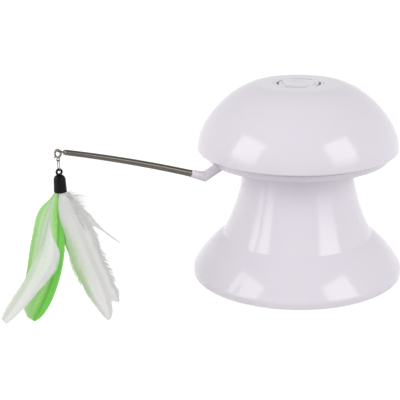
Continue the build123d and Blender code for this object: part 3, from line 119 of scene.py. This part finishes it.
# Half widths of each vane at these shares of its quill, left and right, in millimetres
VANE_SHARES = (0, 0.1, 0.2, 0.3, 0.4, 0.5, 0.6, 0.7, 0.8, 0.9, 0.96, 1)
VANES = {
    "feather_green_left": (
        (0.8, 1.9, 4.8, 5.8, 5.6, 5.4, 5.3, 4.9, 3.8, 2.5, 1.4, 0.2),
        (0.8, 1.6, 3.6, 5.2, 6.0, 6.2, 5.8, 5.0, 4.0, 2.6, 1.4, 0.2),
    ),
    "feather_white_left": (
        (0.8, 1.6, 2.4, 2.6, 3.6, 6.0, 7.6, 8.2, 8.6, 7.4, 5.8, 3.6),
        (0.8, 0.8, 0.9, 2.8, 9.0, 9.8, 6.8, 3.8, 2.4, 1.8, 1.6, 1.2),
    ),
    "feather_green_middle": (
        (1.2, 4.9, 5.8, 4.4, 2.6, 2.4, 2.8, 4.8, 7.8, 10.2, 10.4, 5.0),
        (0.6, 0.9, 2.3, 3.9, 5.0, 5.2, 5.2, 5.0, 4.8, 4.2, 3.0, 0.8),
    ),
    "feather_green_back": (
        (0.6, 1.6, 2.4, 3.2, 3.6, 3.4, 3.0, 2.8, 2.6, 2.0, 1.2, 0.2),
        (0.6, 1.6, 2.4, 3.0, 3.4, 3.6, 3.8, 3.8, 3.4, 2.4, 1.4, 0.2),
    ),
    "feather_white_right": (
        (2.2, 4.4, 4.8, 4.8, 6.4, 8.6, 9.0, 8.0, 6.6, 4.2, 2.4, 0.8),
        (1.6, 5.0, 6.4, 7.6, 8.4, 8.8, 8.8, 8.8, 8.4, 6.6, 4.3, 1.2),
    ),
    "feather_white_outer": (
        (1.6, 4.0, 5.0, 6.0, 7.0, 7.6, 7.8, 7.4, 6.4, 4.2, 2.4, 0.6),
        (1.6, 4.6, 6.4, 7.8, 9.0, 8.8, 7.4, 6.8, 6.6, 5.0, 3.3, 0.8),
    ),
    "feather_white_short": (
        (1.2, 2.4, 4.4, 5.6, 5.8, 4.8, 1.6, 0.8, 0.6, 0.5, 0.4, 0.2),
        (1.2, 1.6, 2.2, 2.6, 2.8, 2.6, 1.6, 0.8, 0.6, 0.5, 0.4, 0.2),
    ),
}
# How frayed each vane's edge is, its down barbs, their reach in millimetres and their side, where 0 is
# both, and how far in degrees the vane's right edge is rolled back about its quill
PLUMES = {
    "feather_green_left": (0.3, 16, 4, 0, -6),
    "feather_white_left": (0.4, 20, 4, -1, 0),
    "feather_green_middle": (0.15, 0, 0, 0, 0),
    "feather_green_back": (0.2, 0, 0, 0, 0),
    "feather_white_right": (0.8, 40, 22, 1, 8),
    "feather_white_outer": (2.2, 120, 24, 1, 20),
    "feather_white_short": (1.2, 110, 18, 1, 24),
}
FIRST_SEED = 11

# Quill: radius and taper in millimetres, and how far it reaches up into the cap as a share of its length
QUILL_R = 0.55
QUILL_TAPER = 0.49
QUILL_TAPER_POWER = 0.7
QUILL_IN_CAP = 0.08
QUILL_SIDES = 6
QUILL_RINGS = 30
# steps that measure its length, and the share to each side between which its way is taken
CURVE_STEPS = 40
CURVE_NUDGE = 0.005

# Vane: the sheet's share of the half width, its cup as a share too, and the least half width in millimetres
SHEET_SHARE = 0.84
SHEET_ROWS = 72
SHEET_COLUMNS = 12
VANE_CUP = 0.06
VANE_LEAST = 0.1

# Barbs: lean from the quill in degrees, at its root and tip, power of their curve, spacing and width in
# millimetres, and the share of the width that they lose to their end
BARB_LEAN = 46
BARB_LEAN_TIP = 24
BARB_CURVE = 1.25
BARB_SPACING = 0.22
BARB_UNEVEN = (0.8, 1.2)
BARB_WIDTH = 0.4
BARB_STEPS = 6
BARB_TAPER = 0.85
BARB_TAPER_POWER = 2.5

# Fringe: shares of the quill that it runs between and of the half width where its barbs start, height
# over the sheet and lift in millimetres, barbs in a tuft, and how much tufts and barbs differ in reach
FRINGE_SPAN = (0.01, 0.995)
FRINGE_ROOT = 0.5
FRINGE_OVER = 0.05
FRINGE_LIFT = 0.5
TUFT_BARBS = (10, 44)
TUFT_REACH = (-0.09, 0.07)
FRINGE_REACH = (-0.04, 0.1)

# Down: width in millimetres, shares of the quill where it starts and that it covers, crowding to the root,
# spread in radians, and how its reach, its drift to the tip and its wave differ; it shortens along the quill
DOWN_WIDTH = 0.16
DOWN_START = 0.04
DOWN_SHARE = 0.3
DOWN_CROWDING = 1.3
DOWN_SPREAD = 0.6
DOWN_REACH = (0.4, 1.0)
DOWN_SHORTENING = 2.3
DOWN_DRIFT = (0.3, 1.0)
DOWN_WAVE = (0.5, 1.5)
DOWN_CURL = 0.1

# Patterns of the finishes, in millimetres: colour drift and peel of plastic, haze of a lens, paper's tooth,
# streaks of dye along a long quill, and ridges of barbs
DRIFT_SIZE = 45
PEEL_DEPTH = 0.1
HAZE_SIZE = 1.5
TOOTH_SIZE = 3
STREAK_SIZE = 2
STREAK_QUILL = 90
RIDGE_DEPTH = 0.4
# changes of tone along a barb
STREAK_RUN = 1.5
STREAK_DETAIL = 3.0
RIDGE_STRENGTH = 0.35
# shares of the quill: the dye's middle, and the distances from it where the dye starts to fade and is gone
DYE_MIDDLE = 0.46
DYE_FADE = (0.1, 0.38)

# Optics of the finishes
PLASTIC_IOR = 1.53
ACRYLIC_IOR = 1.49
KERATIN_IOR = 1.54
GRAIN_DETAIL = 6.0
METAL_WEAR = (0.7, 1.3)
LENS_ROUGHNESS = (0.02, 0.08)
LENS_CLEARNESS = 0.9
BARB_ROUGHNESS = 0.6
BARB_SHEEN = 0.15
BARB_THINNESS = 0.18


def linear(code):
    """Linear colour of an sRGB hex value."""
    parts = [int(code[i:i + 2], 16) / 255 for i in (1, 3, 5)]
    return [p / 12.92 if p <= 0.04045 else ((p + 0.055) / 1.055) ** 2.4 for p in parts] + [1.0]


def add_node(tree, kind, inputs=None, stops=None, **settings):
    """Adds a node, sets it, and fills its inputs with values or other nodes' outputs, a ramp with stops."""
    node = tree.nodes.new(kind)
    for step, (place, code) in enumerate(stops or []):
        held = node.color_ramp.elements
        stop = held[step] if step < len(held) else held.new(place)
        stop.position = place
        stop.color = linear(code)
    for name, value in settings.items():
        setattr(node, name, value)
    for name, value in (inputs or {}).items():
        if isinstance(value, bpy.types.NodeSocket):
            tree.links.new(value, node.inputs[name])
        else:
            node.inputs[name].default_value = value
    return node


def new_finish(name):
    """An empty node material with its tree and a place to read patterns from."""
    finish = bpy.data.materials.new(name)
    finish.use_nodes = True
    finish.node_tree.nodes.clear()
    place = add_node(finish.node_tree, "ShaderNodeTexCoord")
    return finish, finish.node_tree, place


def seen_rays(tree, unseen, seen):
    """One value for light that falls on things, another for what the camera, gloss and glass see."""
    rays = add_node(tree, "ShaderNodeLightPath")
    direct = add_node(tree, "ShaderNodeMath", {
        0: rays.outputs["Is Camera Ray"], 1: rays.outputs["Is Glossy Ray"],
    }, operation="MAXIMUM")
    through = add_node(tree, "ShaderNodeMath", {
        0: direct.outputs["Value"], 1: rays.outputs["Is Transmission Ray"],
    }, operation="MAXIMUM")
    return add_node(tree, "ShaderNodeMapRange", {
        "Value": through.outputs["Value"], "To Min": unseen, "To Max": seen,
    }).outputs["Result"]


def moulded_plastic(name, dark, light, roughness, peel_mm, peel_strength, shine=0.5):
    """Injection-moulded plastic: an even colour that drifts a little, under a faint orange peel."""
    finish, tree, place = new_finish(name)
    drift = add_node(tree, "ShaderNodeTexNoise", {
        "Vector": place.outputs["Object"], "Scale": 1 / (DRIFT_SIZE * MM),
    })
    tint = add_node(tree, "ShaderNodeValToRGB", {"Fac": drift.outputs["Fac"]}, [(0, dark), (1, light)])
    peel = add_node(tree, "ShaderNodeTexNoise", {
        "Vector": place.outputs["Object"], "Scale": 1 / (peel_mm * MM),
    })
    bump = add_node(tree, "ShaderNodeBump", {
        "Height": peel.outputs["Fac"], "Strength": peel_strength, "Distance": PEEL_DEPTH * MM,
    })
    shader = add_node(tree, "ShaderNodeBsdfPrincipled", {
        "Base Color": tint.outputs["Color"], "Roughness": roughness, "IOR": PLASTIC_IOR,
        "Specular IOR Level": shine, "Normal": bump.outputs["Normal"],
    })
    add_node(tree, "ShaderNodeOutputMaterial", {"Surface": shader.outputs["BSDF"]})
    return finish


def worked_metal(name, dark, light, roughness, grain_mm):
    """Bare or plated metal: fine scratches and handling marks vary its shine."""
    finish, tree, place = new_finish(name)
    grain_and_glints = add_node(tree, "ShaderNodeTexNoise", {
        "Vector": place.outputs["Object"], "Scale": 1 / (grain_mm * MM), "Detail": GRAIN_DETAIL,
    })
    # tone follows the grain between a dark and a light colour; on the nickel, where these lie far apart, the
    # light spots are painted glints
    tint = add_node(tree, "ShaderNodeValToRGB", {"Fac": grain_and_glints.outputs["Fac"]}, [(0, dark), (1, light)])
    wear = add_node(tree, "ShaderNodeMapRange", {
        "Value": grain_and_glints.outputs["Fac"],
        "To Min": roughness * METAL_WEAR[0], "To Max": roughness * METAL_WEAR[1],
    })
    shader = add_node(tree, "ShaderNodeBsdfPrincipled", {
        "Base Color": tint.outputs["Color"], "Metallic": 1.0, "Roughness": wear.outputs["Result"],
    })
    add_node(tree, "ShaderNodeOutputMaterial", {"Surface": shader.outputs["BSDF"]})
    return finish


def clear_lens(name, tint):
    """Moulded acrylic disc: clear, with a breath of haze."""
    finish, tree, place = new_finish(name)
    haze = add_node(tree, "ShaderNodeTexNoise", {
        "Vector": place.outputs["Object"], "Scale": 1 / (HAZE_SIZE * MM),
    })
    wear = add_node(tree, "ShaderNodeMapRange", {
        "Value": haze.outputs["Fac"], "To Min": LENS_ROUGHNESS[0], "To Max": LENS_ROUGHNESS[1],
    })
    shader = add_node(tree, "ShaderNodeBsdfPrincipled", {
        "Base Color": linear(tint), "Roughness": wear.outputs["Result"], "IOR": ACRYLIC_IOR,
        "Transmission Weight": LENS_CLEARNESS,
    })
    add_node(tree, "ShaderNodeOutputMaterial", {"Surface": shader.outputs["BSDF"]})
    return finish


def dyed_barbs(name, across, streak, end_fade=0.0):
    """Feather barbs: thin matt keratin that lets light through, its dye uneven and fading at the ends."""
    finish, tree, place = new_finish(name)
    spot = add_node(tree, "ShaderNodeSeparateXYZ", {"Vector": place.outputs["UV"]})
    # single barbs are too fine to show, so a streak is several barbs wide
    stretch = add_node(tree, "ShaderNodeMapping", {
        "Vector": place.outputs["UV"], "Scale": (STREAK_RUN, STREAK_QUILL / STREAK_SIZE, 1.0),
    })
    uneven = add_node(tree, "ShaderNodeTexNoise", {
        "Vector": stretch.outputs["Vector"], "Scale": 1.0, "Detail": STREAK_DETAIL,
    })
    shift = add_node(tree, "ShaderNodeMapRange", {
        "Value": uneven.outputs["Fac"], "To Min": -streak, "To Max": streak,
    })
    past = add_node(tree, "ShaderNodeMath", {0: spot.outputs["Y"], 1: DYE_MIDDLE}, operation="SUBTRACT")
    apart = add_node(tree, "ShaderNodeMath", {0: past.outputs["Value"]}, operation="ABSOLUTE")
    fade = add_node(tree, "ShaderNodeMapRange", {
        "Value": apart.outputs["Value"],
        "From Min": DYE_FADE[0], "From Max": DYE_FADE[1], "To Max": end_fade,
    })
    uneven_fade = add_node(tree, "ShaderNodeMath", {
        0: shift.outputs["Result"], 1: fade.outputs["Result"],
    }, operation="ADD")
    reach = add_node(tree, "ShaderNodeMath", {
        0: spot.outputs["X"], 1: uneven_fade.outputs["Value"],
    }, operation="ADD")
    share = add_node(tree, "ShaderNodeMapRange", {"Value": reach.outputs["Value"], "From Min": -1.0})
    # the ramp gives the dye across the vane; on the green feathers its palest left stop is also a painted
    # highlight
    dye = add_node(tree, "ShaderNodeValToRGB", {"Fac": share.outputs["Result"]}, across)
    ridges = add_node(tree, "ShaderNodeBump", {
        "Height": uneven.outputs["Fac"], "Strength": RIDGE_STRENGTH, "Distance": RIDGE_DEPTH * MM,
    })
    face = add_node(tree, "ShaderNodeBsdfPrincipled", {
        "Base Color": dye.outputs["Color"], "Roughness": BARB_ROUGHNESS, "IOR": KERATIN_IOR,
        "Sheen Weight": BARB_SHEEN, "Normal": ridges.outputs["Normal"],
    })
    thin = add_node(tree, "ShaderNodeBsdfTranslucent", {"Color": dye.outputs["Color"]})
    both = add_node(tree, "ShaderNodeMixShader", {
        0: BARB_THINNESS, 1: face.outputs["BSDF"], 2: thin.outputs["BSDF"],
    })
    add_node(tree, "ShaderNodeOutputMaterial", {"Surface": both.outputs["Shader"]})
    return finish


def mesh_piece(name, verts, faces, finish, uvs=None, smooth=True):
    """Mesh object from plain lists, one UV pair for each vertex."""
    mesh = bpy.data.meshes.new(name)
    mesh.from_pydata(verts, [], faces)
    if uvs:
        layer = mesh.uv_layers.new(name="along")
        for loop in mesh.loops:
            layer.data[loop.index].uv = uvs[loop.vertex_index]
    mesh.materials.append(finish)
    for face in mesh.polygons:
        face.use_smooth = smooth
    mesh.update()
    piece = bpy.data.objects.new(name, mesh)
    scene.collection.objects.link(piece)
    return piece


def tube_faces(start, rings, corners):
    """Side faces of a tube whose rings of corners follow one another from a first vertex."""
    faces = []
    for ring in range(rings - 1):
        for corner in range(corners):
            here = start + ring * corners + corner
            beside = start + ring * corners + (corner + 1) % corners
            faces.append((here, beside, beside + corners, here + corners))
    return faces


def rod_point(along):
    """Point of the rod's middle line and its way there, at a distance from the elbow's mouth."""
    bend = math.radians(ROD_DROOP_DEG) / ROD_LEN
    rise = math.radians(ROD_RISE_DEG)
    turn = rise - bend * along
    out = ROD_MOUTH[0] + (math.sin(rise) - math.sin(turn)) / bend
    up = ROD_MOUTH[1] + (math.cos(turn) - math.cos(rise)) / bend
    return Vector((-out, 0, up)) * MM, Vector((-math.cos(turn), 0, math.sin(turn)))


def wound_rod(finish):
    """Close-wound wire with a low crest that leans to the elbow, so that its long flanks catch the lamp."""
    side = Vector((0, 1, 0))
    count = COIL_TURNS * COIL_STEPS
    corners = len(COIL_CORNERS)
    verts = []
    for step in range(count + 1):
        share = step / count
        middle, way = rod_point(ROD_LEN * share)
        turn = 2 * math.pi * step / COIL_STEPS
        arm = side * math.cos(turn) + side.cross(way) * math.sin(turn)
        reach = COIL_OUT_ROOT + (COIL_OUT_TIP - COIL_OUT_ROOT) * share - COIL_CREST
        for out, along in COIL_CORNERS:
            verts.append(middle + (arm * (reach + COIL_CREST * out) + way * COIL_WIRE_R * along) * MM)
    faces = tube_faces(0, count + 1, corners)
    faces.append(tuple(range(corners - 1, -1, -1)))
    faces.append(tuple(range(count * corners, (count + 1) * corners)))
    return mesh_piece("wound_rod", verts, faces, finish, smooth=False)


def fan_point(place):
    """Point in the frame of a place in the tassel's fan."""
    across, front, up = place
    return CAP_MOUTH + (FAN_ACROSS * across + FAN_FRONT * front + Vector((0, 0, up))) * MM


def vane_half(node, hand, share):
    """Half width of a vane at a share of its quill, in metres: a smooth line through its table."""
    halves = VANES[node][hand > 0]
    last = len(halves) - 1
    share = min(max(share, 0.0), 1.0)
    step = max(k for k in range(last) if VANE_SHARES[k] <= share)
    low, high = VANE_SHARES[step], VANE_SHARES[step + 1]
    part = (share - low) / (high - low)
    rise = []
    for k in (step, step + 1):
        before, after = max(k - 1, 0), min(k + 1, last)
        slope = (halves[after] - halves[before]) / (VANE_SHARES[after] - VANE_SHARES[before])
        rise.append(slope * (high - low))
    smooth = part * part * (3 - 2 * part)
    width = halves[step] * (1 - smooth) + halves[step + 1] * smooth
    width += part * (1 - part) * ((1 - part) * rise[0] - part * rise[1])
    return max(width, VANE_LEAST) * MM


class Plume:
    """One feather: the curve of its quill, and the mesh that is built along it."""

    def __init__(self, node, seed):
        self.node = node
        self.chance = random.Random(seed)
        self.fray, self.down_count, self.down_reach, self.down_side, roll_deg = PLUMES[node]
        self.roll = math.radians(roll_deg)
        self.bones = [fan_point(place) for place in QUILLS[node]]
        stops = [self.at(step / CURVE_STEPS) for step in range(CURVE_STEPS + 1)]
        self.length = sum((after - before).length for before, after in zip(stops, stops[1:]))
        self.verts = []
        self.faces = []
        self.uvs = []

    def at(self, t):
        """Point of the quill at a share of its curve."""
        root, pull, second_pull, tip = self.bones
        return (root * (1 - t) ** 3 + pull * 3 * t * (1 - t) ** 2
                + second_pull * 3 * t * t * (1 - t) + tip * t ** 3)

    def frame_at(self, t):
        """Point of the quill, the ways along it and to the vane's right, and the way the vane faces."""
        way = (self.at(min(t + CURVE_NUDGE, 1)) - self.at(max(t - CURVE_NUDGE, 0))).normalized()
        level = FAN_FRONT.cross(way).normalized()
        side = level * math.cos(self.roll) - way.cross(level) * math.sin(self.roll)
        return self.at(t), way, side, way.cross(side)

    def vane_point(self, t, hand, share, half):
        """Point of the cupped vane at a share of its half width."""
        middle, _, side, face_way = self.frame_at(t)
        return middle + side * hand * half * share - face_way * VANE_CUP * half * share * share

    def sweep(self, t, hand):
        """How far along the quill a barb leans from its root to the vane's edge, as a share."""
        lean = math.radians(BARB_LEAN + (BARB_LEAN_TIP - BARB_LEAN) * t)
        return vane_half(self.node, hand, t) / math.tan(lean) / self.length

    def add_ribbon(self, points, edges, marks, width):
        """A barb: a flat strip that narrows to its end."""
        start = len(self.verts)
        last = len(points) - 1
        for step, (point, edge) in enumerate(zip(points, edges)):
            half = edge * width / 2 * (1 - BARB_TAPER * (step / last) ** BARB_TAPER_POWER)
            self.verts.extend((point - half, point + half))
            self.uvs.extend([marks[step]] * 2)
        for step in range(last):
            here = start + 2 * step
            self.faces.append((here, here + 1, here + 3, here + 2))

    def add_quill(self):
        """A tapered tube behind the vane, with its root up in the cap, that stops short of the tip."""
        start = len(self.verts)
        rings = [(-QUILL_IN_CAP, QUILL_R)]
        for step in range(QUILL_RINGS - 1):
            t = step / QUILL_RINGS
            rings.append((t, QUILL_R - QUILL_TAPER * t ** QUILL_TAPER_POWER))
        for t, radius in rings:
            middle, way, side, face_way = self.frame_at(max(t, 0))
            middle = middle + way * min(t, 0) * self.length - face_way * radius * MM
            for corner in range(QUILL_SIDES):
                spin = 2 * math.pi * corner / QUILL_SIDES
                arm = side * math.cos(spin) + face_way * math.sin(spin)
                self.verts.append(middle + arm * radius * MM)
                self.uvs.append((0, max(t, 0)))
        self.faces.extend(tube_faces(start, len(rings), QUILL_SIDES))

    def add_vane(self):
        """One cupped sheet, whose UV runs out along the barbs and down the quill."""
        start = len(self.verts)
        for row in range(SHEET_ROWS + 1):
            t = row / SHEET_ROWS
            for column in range(-SHEET_COLUMNS, SHEET_COLUMNS + 1):
                hand = 1 if column > 0 else -1
                share = abs(column) / SHEET_COLUMNS
                half = vane_half(self.node, hand, t) * SHEET_SHARE
                self.verts.append(self.vane_point(t, hand, share, half))
                root = t - self.sweep(t, hand) * share ** BARB_CURVE
                self.uvs.append((hand * share * SHEET_SHARE, root))
        across = 2 * SHEET_COLUMNS + 1
        for row in range(SHEET_ROWS):
            for column in range(across - 1):
                here = start + row * across + column
                self.faces.append((here, here + 1, here + across + 1, here + across))

    def add_fringe(self):
        """Barbs that part a little at the vane's edge, in tufts."""
        chance = self.chance
        for hand in (-1, 1):
            t = FRINGE_SPAN[0]
            tuft_left = 0
            while t < FRINGE_SPAN[1]:
                if tuft_left <= 0:
                    tuft_left = chance.randint(*TUFT_BARBS)
                    tuft_reach = 1 + chance.uniform(*TUFT_REACH) * self.fray
                tuft_left -= 1
                end = 1 - (1 - t) ** 2 / (1 - t + self.sweep(t, hand))
                barb_reach = 1 + chance.uniform(*FRINGE_REACH) * self.fray
                half = vane_half(self.node, hand, end) * tuft_reach * barb_reach
                lift = chance.uniform(0, FRINGE_LIFT) * MM * self.fray
                self.add_barb(t, end, hand, half, lift)
                t += BARB_SPACING * MM / self.length * chance.uniform(*BARB_UNEVEN)

    def add_barb(self, t, end, hand, half, lift):
        """One barb of the fringe, from its root on the quill to where it ends along it."""
        points = []
        edges = []
        marks = []
        for step in range(BARB_STEPS + 1):
            share = FRINGE_ROOT + (1 - FRINGE_ROOT) * step / BARB_STEPS
            spot = t + (end - t) * share ** BARB_CURVE
            _, way, side, face_way = self.frame_at(spot)
            over = FRINGE_OVER * MM + lift * (share - FRINGE_ROOT)
            points.append(self.vane_point(spot, hand, share, half) + face_way * over)
            edges.append((way - side * hand).normalized())
            marks.append((hand * share, t))
        self.add_ribbon(points, edges, marks, BARB_WIDTH * MM)

    def add_down(self):
        """Loose curling barbs near the root, which don't follow the vane's roll."""
        chance = self.chance
        for _ in range(self.down_count):
            t = DOWN_START + DOWN_SHARE * chance.random() ** DOWN_CROWDING
            middle, way, side, face_way = self.frame_at(t)
            hand = self.down_side or chance.choice((-1, 1))
            spin = chance.uniform(-DOWN_SPREAD, DOWN_SPREAD) + hand * self.roll
            out = side * hand * math.cos(spin) + face_way * math.sin(spin)
            reach = chance.uniform(*DOWN_REACH) * self.down_reach * (1 - DOWN_SHORTENING * t) * MM
            drift = chance.uniform(*DOWN_DRIFT)
            wave = chance.uniform(*DOWN_WAVE)
            points = []
            marks = []
            for step in range(BARB_STEPS + 1):
                share = step / BARB_STEPS
                curl = face_way * math.sin(share * math.pi * wave) * DOWN_CURL * reach
                points.append(middle + out * reach * share + way * reach * drift * share * share + curl)
                marks.append((hand * share, t))
            self.add_ribbon(points, [way] * len(points), marks, DOWN_WIDTH * MM)


def feather(node, finish, seed):
    """Feather with a tapered quill, a cupped vane, barbs that stand out at its edge, and down."""
    plume = Plume(node, seed)
    plume.add_quill()
    plume.add_vane()
    plume.add_fringe()
    plume.add_down()
    return mesh_piece(node.replace("feather", "plume"), plume.verts, plume.faces, finish, plume.uvs)


# Finishes, by the record's material slots
FINISHES = {
    # gloss-moulded ABS, white with a breath of lavender: broad clear reflections
    "white_abs": moulded_plastic("gloss_white_abs", "#E8E2EC", "#EDE7F0", 0.13, 2.5, 0.02),
    # ABS from a satin tool: soft shine
    "inner_abs": moulded_plastic("satin_grey_abs", "#B4B4B8", "#BEBEC2", 0.4, 0.8, 0.08),
    # dipped black vinyl: deep black with a dull sheen
    "black_rubber": moulded_plastic("dipped_black_vinyl", "#020202", "#060606", 0.4, 0.6, 0.1, 0.14),
    # moulded rubber: matt and a little dusty
    "grey_rubber": moulded_plastic("grey_rubber", "#3A3A3C", "#454547", 0.75, 0.5, 0.15),
    # zinc-plated steel: cool and slightly cloudy
    "zinc_screw": worked_metal("zinc_plated_steel", "#A9A9A6", "#BDBDBA", 0.32, 0.6),
    # barrel-plated nickel: warm grey, mottled from dark to light, its light spots painted glints
    "nickel": worked_metal("nickel_plate_painted_glints", "#4A443C", "#9A948A", 0.22, 0.5),
    # oil-hardened spring wire, ground: olive grey with one bright line along it
    "spring_steel": worked_metal("oiled_spring_wire", "#59554E", "#6C6861", 0.16, 0.8),
    # turned brass: warm yellow with a clear shine
    "brass": worked_metal("turned_brass", "#B98F3F", "#CDA552", 0.28, 0.5),
    # moulded acetal: milky and slightly waxy
    "acetal": moulded_plastic("acetal", "#E6E3D8", "#EEEBE2", 0.32, 0.8, 0.04),
    # moulded smoked polycarbonate: nearly black, with sharp reflections
    "smoked": moulded_plastic("smoked_polycarbonate", "#2B2B2F", "#36363B", 0.12, 2.0, 0.02),
    # lacquered glass-fibre board: deep green under a thin gloss
    "board": moulded_plastic("lacquered_circuit_board", "#0E4A24", "#14602F", 0.3, 0.7, 0.08),
    # shrunk film sleeve: dark, tight and glossy
    "cell": moulded_plastic("printed_cell_sleeve", "#23242B", "#2D2E36", 0.22, 1.5, 0.03),
    # moulded acrylic: clear with a breath of red
    "lens": clear_lens("acrylic_lens", "#F6E4E4"),
    # extruded PVC: red with a soft shine
    "wire": moulded_plastic("pvc_lead", "#8C1F1B", "#A32822", 0.4, 0.8, 0.05),
    # bleached poultry feather: soft white mass without a hard edge
    "feather_white": dyed_barbs("bleached_barbs", [(0, "#F3F3F0"), (0.5, "#F9F8F8"), (1, "#F4F3F2")], 0.3),
    # dyed poultry feather: full green by the quill, paler at the barb tips; the palest stop, on the left, is
    # a painted highlight of a curled edge
    "feather_green": dyed_barbs("dyed_green_barbs_edge_highlight", [
        (0, "#D6F8C2"), (0.18, "#BEF49C"), (0.32, "#A4E87E"),
        (0.5, "#6EC246"), (0.66, "#78E054"), (1, "#9AEA78"),
    ], 0.2),
}
# dye taken up unevenly: green on one side of the quill, nearly white on the other
HALF_DYED = dyed_barbs("half_dyed_barbs", [
    (0, "#B4F48C"), (0.4, "#D2F8BE"), (0.65, "#E8F8E0"), (1, "#F0F8EA"),
], 0.55)
# bleached barbs that picked up dye from the green feathers beside them
TINGED = dyed_barbs("tinged_barbs", [
    (0, "#BCE4A4"), (0.26, "#D2E5C2"), (0.56, "#F0F1EC"), (1, "#F3F2F1"),
], 0.45, 0.9)
# bleached barbs with a breath of the same dye
FAINTLY_TINGED = dyed_barbs("faintly_tinged_barbs", [
    (0, "#E6F4DC"), (0.5, "#F1F7ED"), (1, "#FAFAF8"),
], 0.5, 1.0)
PLUME_FINISHES = {
    "feather_green_left": HALF_DYED,
    "feather_white_left": FAINTLY_TINGED,
    "feather_white_right": TINGED,
}
slot_of = {part["node"]: part["material_slot"] for part in frame["record"]["subparts"]}
for node, solid in frame["nodes"].items():
    for held in solid.material_slots:
        held.material = FINISHES[slot_of[node]]

# Spring rod and feathers, in place of their plain solids
rod = wound_rod(FINISHES["spring_steel"])
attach(rod, "turntable")
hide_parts("arm_spring")

for seed, node in enumerate(QUILLS, FIRST_SEED):
    plume = feather(node, PLUME_FINISHES.get(node, FINISHES[slot_of[node]]), seed)
    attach(plume, "tassel")
    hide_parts(node)

# Floor: white paper, matt, with the toy's shadow on it
floor_finish, floor_tree, floor_place = new_finish("white_paper_sweep")
tooth = add_node(floor_tree, "ShaderNodeTexNoise", {
    "Vector": floor_place.outputs["Object"], "Scale": 1 / (TOOTH_SIZE * MM),
})
white = add_node(
    floor_tree, "ShaderNodeValToRGB", {"Fac": tooth.outputs["Fac"]}, [(0, "#C2C2C2"), (1, "#CACACA")]
)
paper = add_node(floor_tree, "ShaderNodeBsdfDiffuse", {"Color": white.outputs["Color"]})
glow = add_node(floor_tree, "ShaderNodeEmission", {"Strength": seen_rays(floor_tree, 0.0, FLOOR_GLOW)})
lit = add_node(floor_tree, "ShaderNodeAddShader", {0: paper.outputs["BSDF"], 1: glow.outputs["Emission"]})
add_node(floor_tree, "ShaderNodeOutputMaterial", {"Surface": lit.outputs["Shader"]})
corners = [(x * FLOOR_HALF, y * FLOOR_HALF, 0) for x, y in ((-1, -1), (1, -1), (1, 1), (-1, 1))]
floor = mesh_piece("floor", corners, [(0, 1, 2, 3)], floor_finish)

# Studio: white all round, dimmer overhead
world = bpy.data.worlds.new("white_studio")
scene.world = world
world.use_nodes = True
studio = world.node_tree
studio.nodes.clear()
look = add_node(studio, "ShaderNodeTexCoord")
tilt = add_node(studio, "ShaderNodeSeparateXYZ", {"Vector": look.outputs["Generated"]})
ceiling = add_node(studio, "ShaderNodeMapRange", {
    "Value": tilt.outputs["Z"], "From Min": CEILING_RISE[0], "From Max": CEILING_RISE[1],
    "To Min": 1.0, "To Max": CEILING_LIGHT,
})
level = add_node(studio, "ShaderNodeMath", {
    0: seen_rays(studio, FILL_LIGHT, 1.0), 1: ceiling.outputs["Result"],
}, operation="MULTIPLY")
sky = add_node(studio, "ShaderNodeBackground", {
    "Color": linear("#FFFFFF"), "Strength": level.outputs["Value"],
})
add_node(studio, "ShaderNodeOutputWorld", {"Surface": sky.outputs["Background"]})

for name, (bearing, height, wide, tall, watts) in SOFTBOXES.items():
    around = math.radians(bearing)
    above = math.radians(height)
    way = Vector((math.cos(around) * math.cos(above), math.sin(around) * math.cos(above), math.sin(above)))
    lamp = bpy.data.lights.new(name, "AREA")
    lamp.shape = "RECTANGLE"
    lamp.size = wide
    lamp.size_y = tall
    lamp.energy = watts
    lamp.use_nodes = True
    lamp.node_tree.nodes.clear()
    cloth = add_node(lamp.node_tree, "ShaderNodeNewGeometry")
    spot = add_node(lamp.node_tree, "ShaderNodeSeparateXYZ", {"Vector": cloth.outputs["Parametric"]})
    fade = add_node(lamp.node_tree, "ShaderNodeMapRange", {
        "Value": spot.outputs["Y"], "From Max": SOFTBOX_FADE,
    })
    shone = add_node(lamp.node_tree, "ShaderNodeEmission", {"Strength": fade.outputs["Result"]})
    add_node(lamp.node_tree, "ShaderNodeOutputLight", {"Surface": shone.outputs["Emission"]})
    holder = bpy.data.objects.new(name, lamp)
    holder.location = AIM + way * LAMP_REACH
    holder.rotation_euler = way.to_track_quat("Z", "Y").to_euler()
    scene.collection.objects.link(holder)

eye = bpy.data.cameras.new("photo_camera")
eye.lens = CAMERA_LENS
eye.sensor_width = CAMERA_SENSOR
eye.shift_x = CAMERA_SHIFT
eye.clip_start = CAMERA_NEAR
camera = bpy.data.objects.new("photo_camera", eye)
camera.location = CAMERA_AT
camera.rotation_euler = CAMERA_WAY.to_track_quat("-Z", "Y").to_euler()
scene.collection.objects.link(camera)
scene.camera = camera
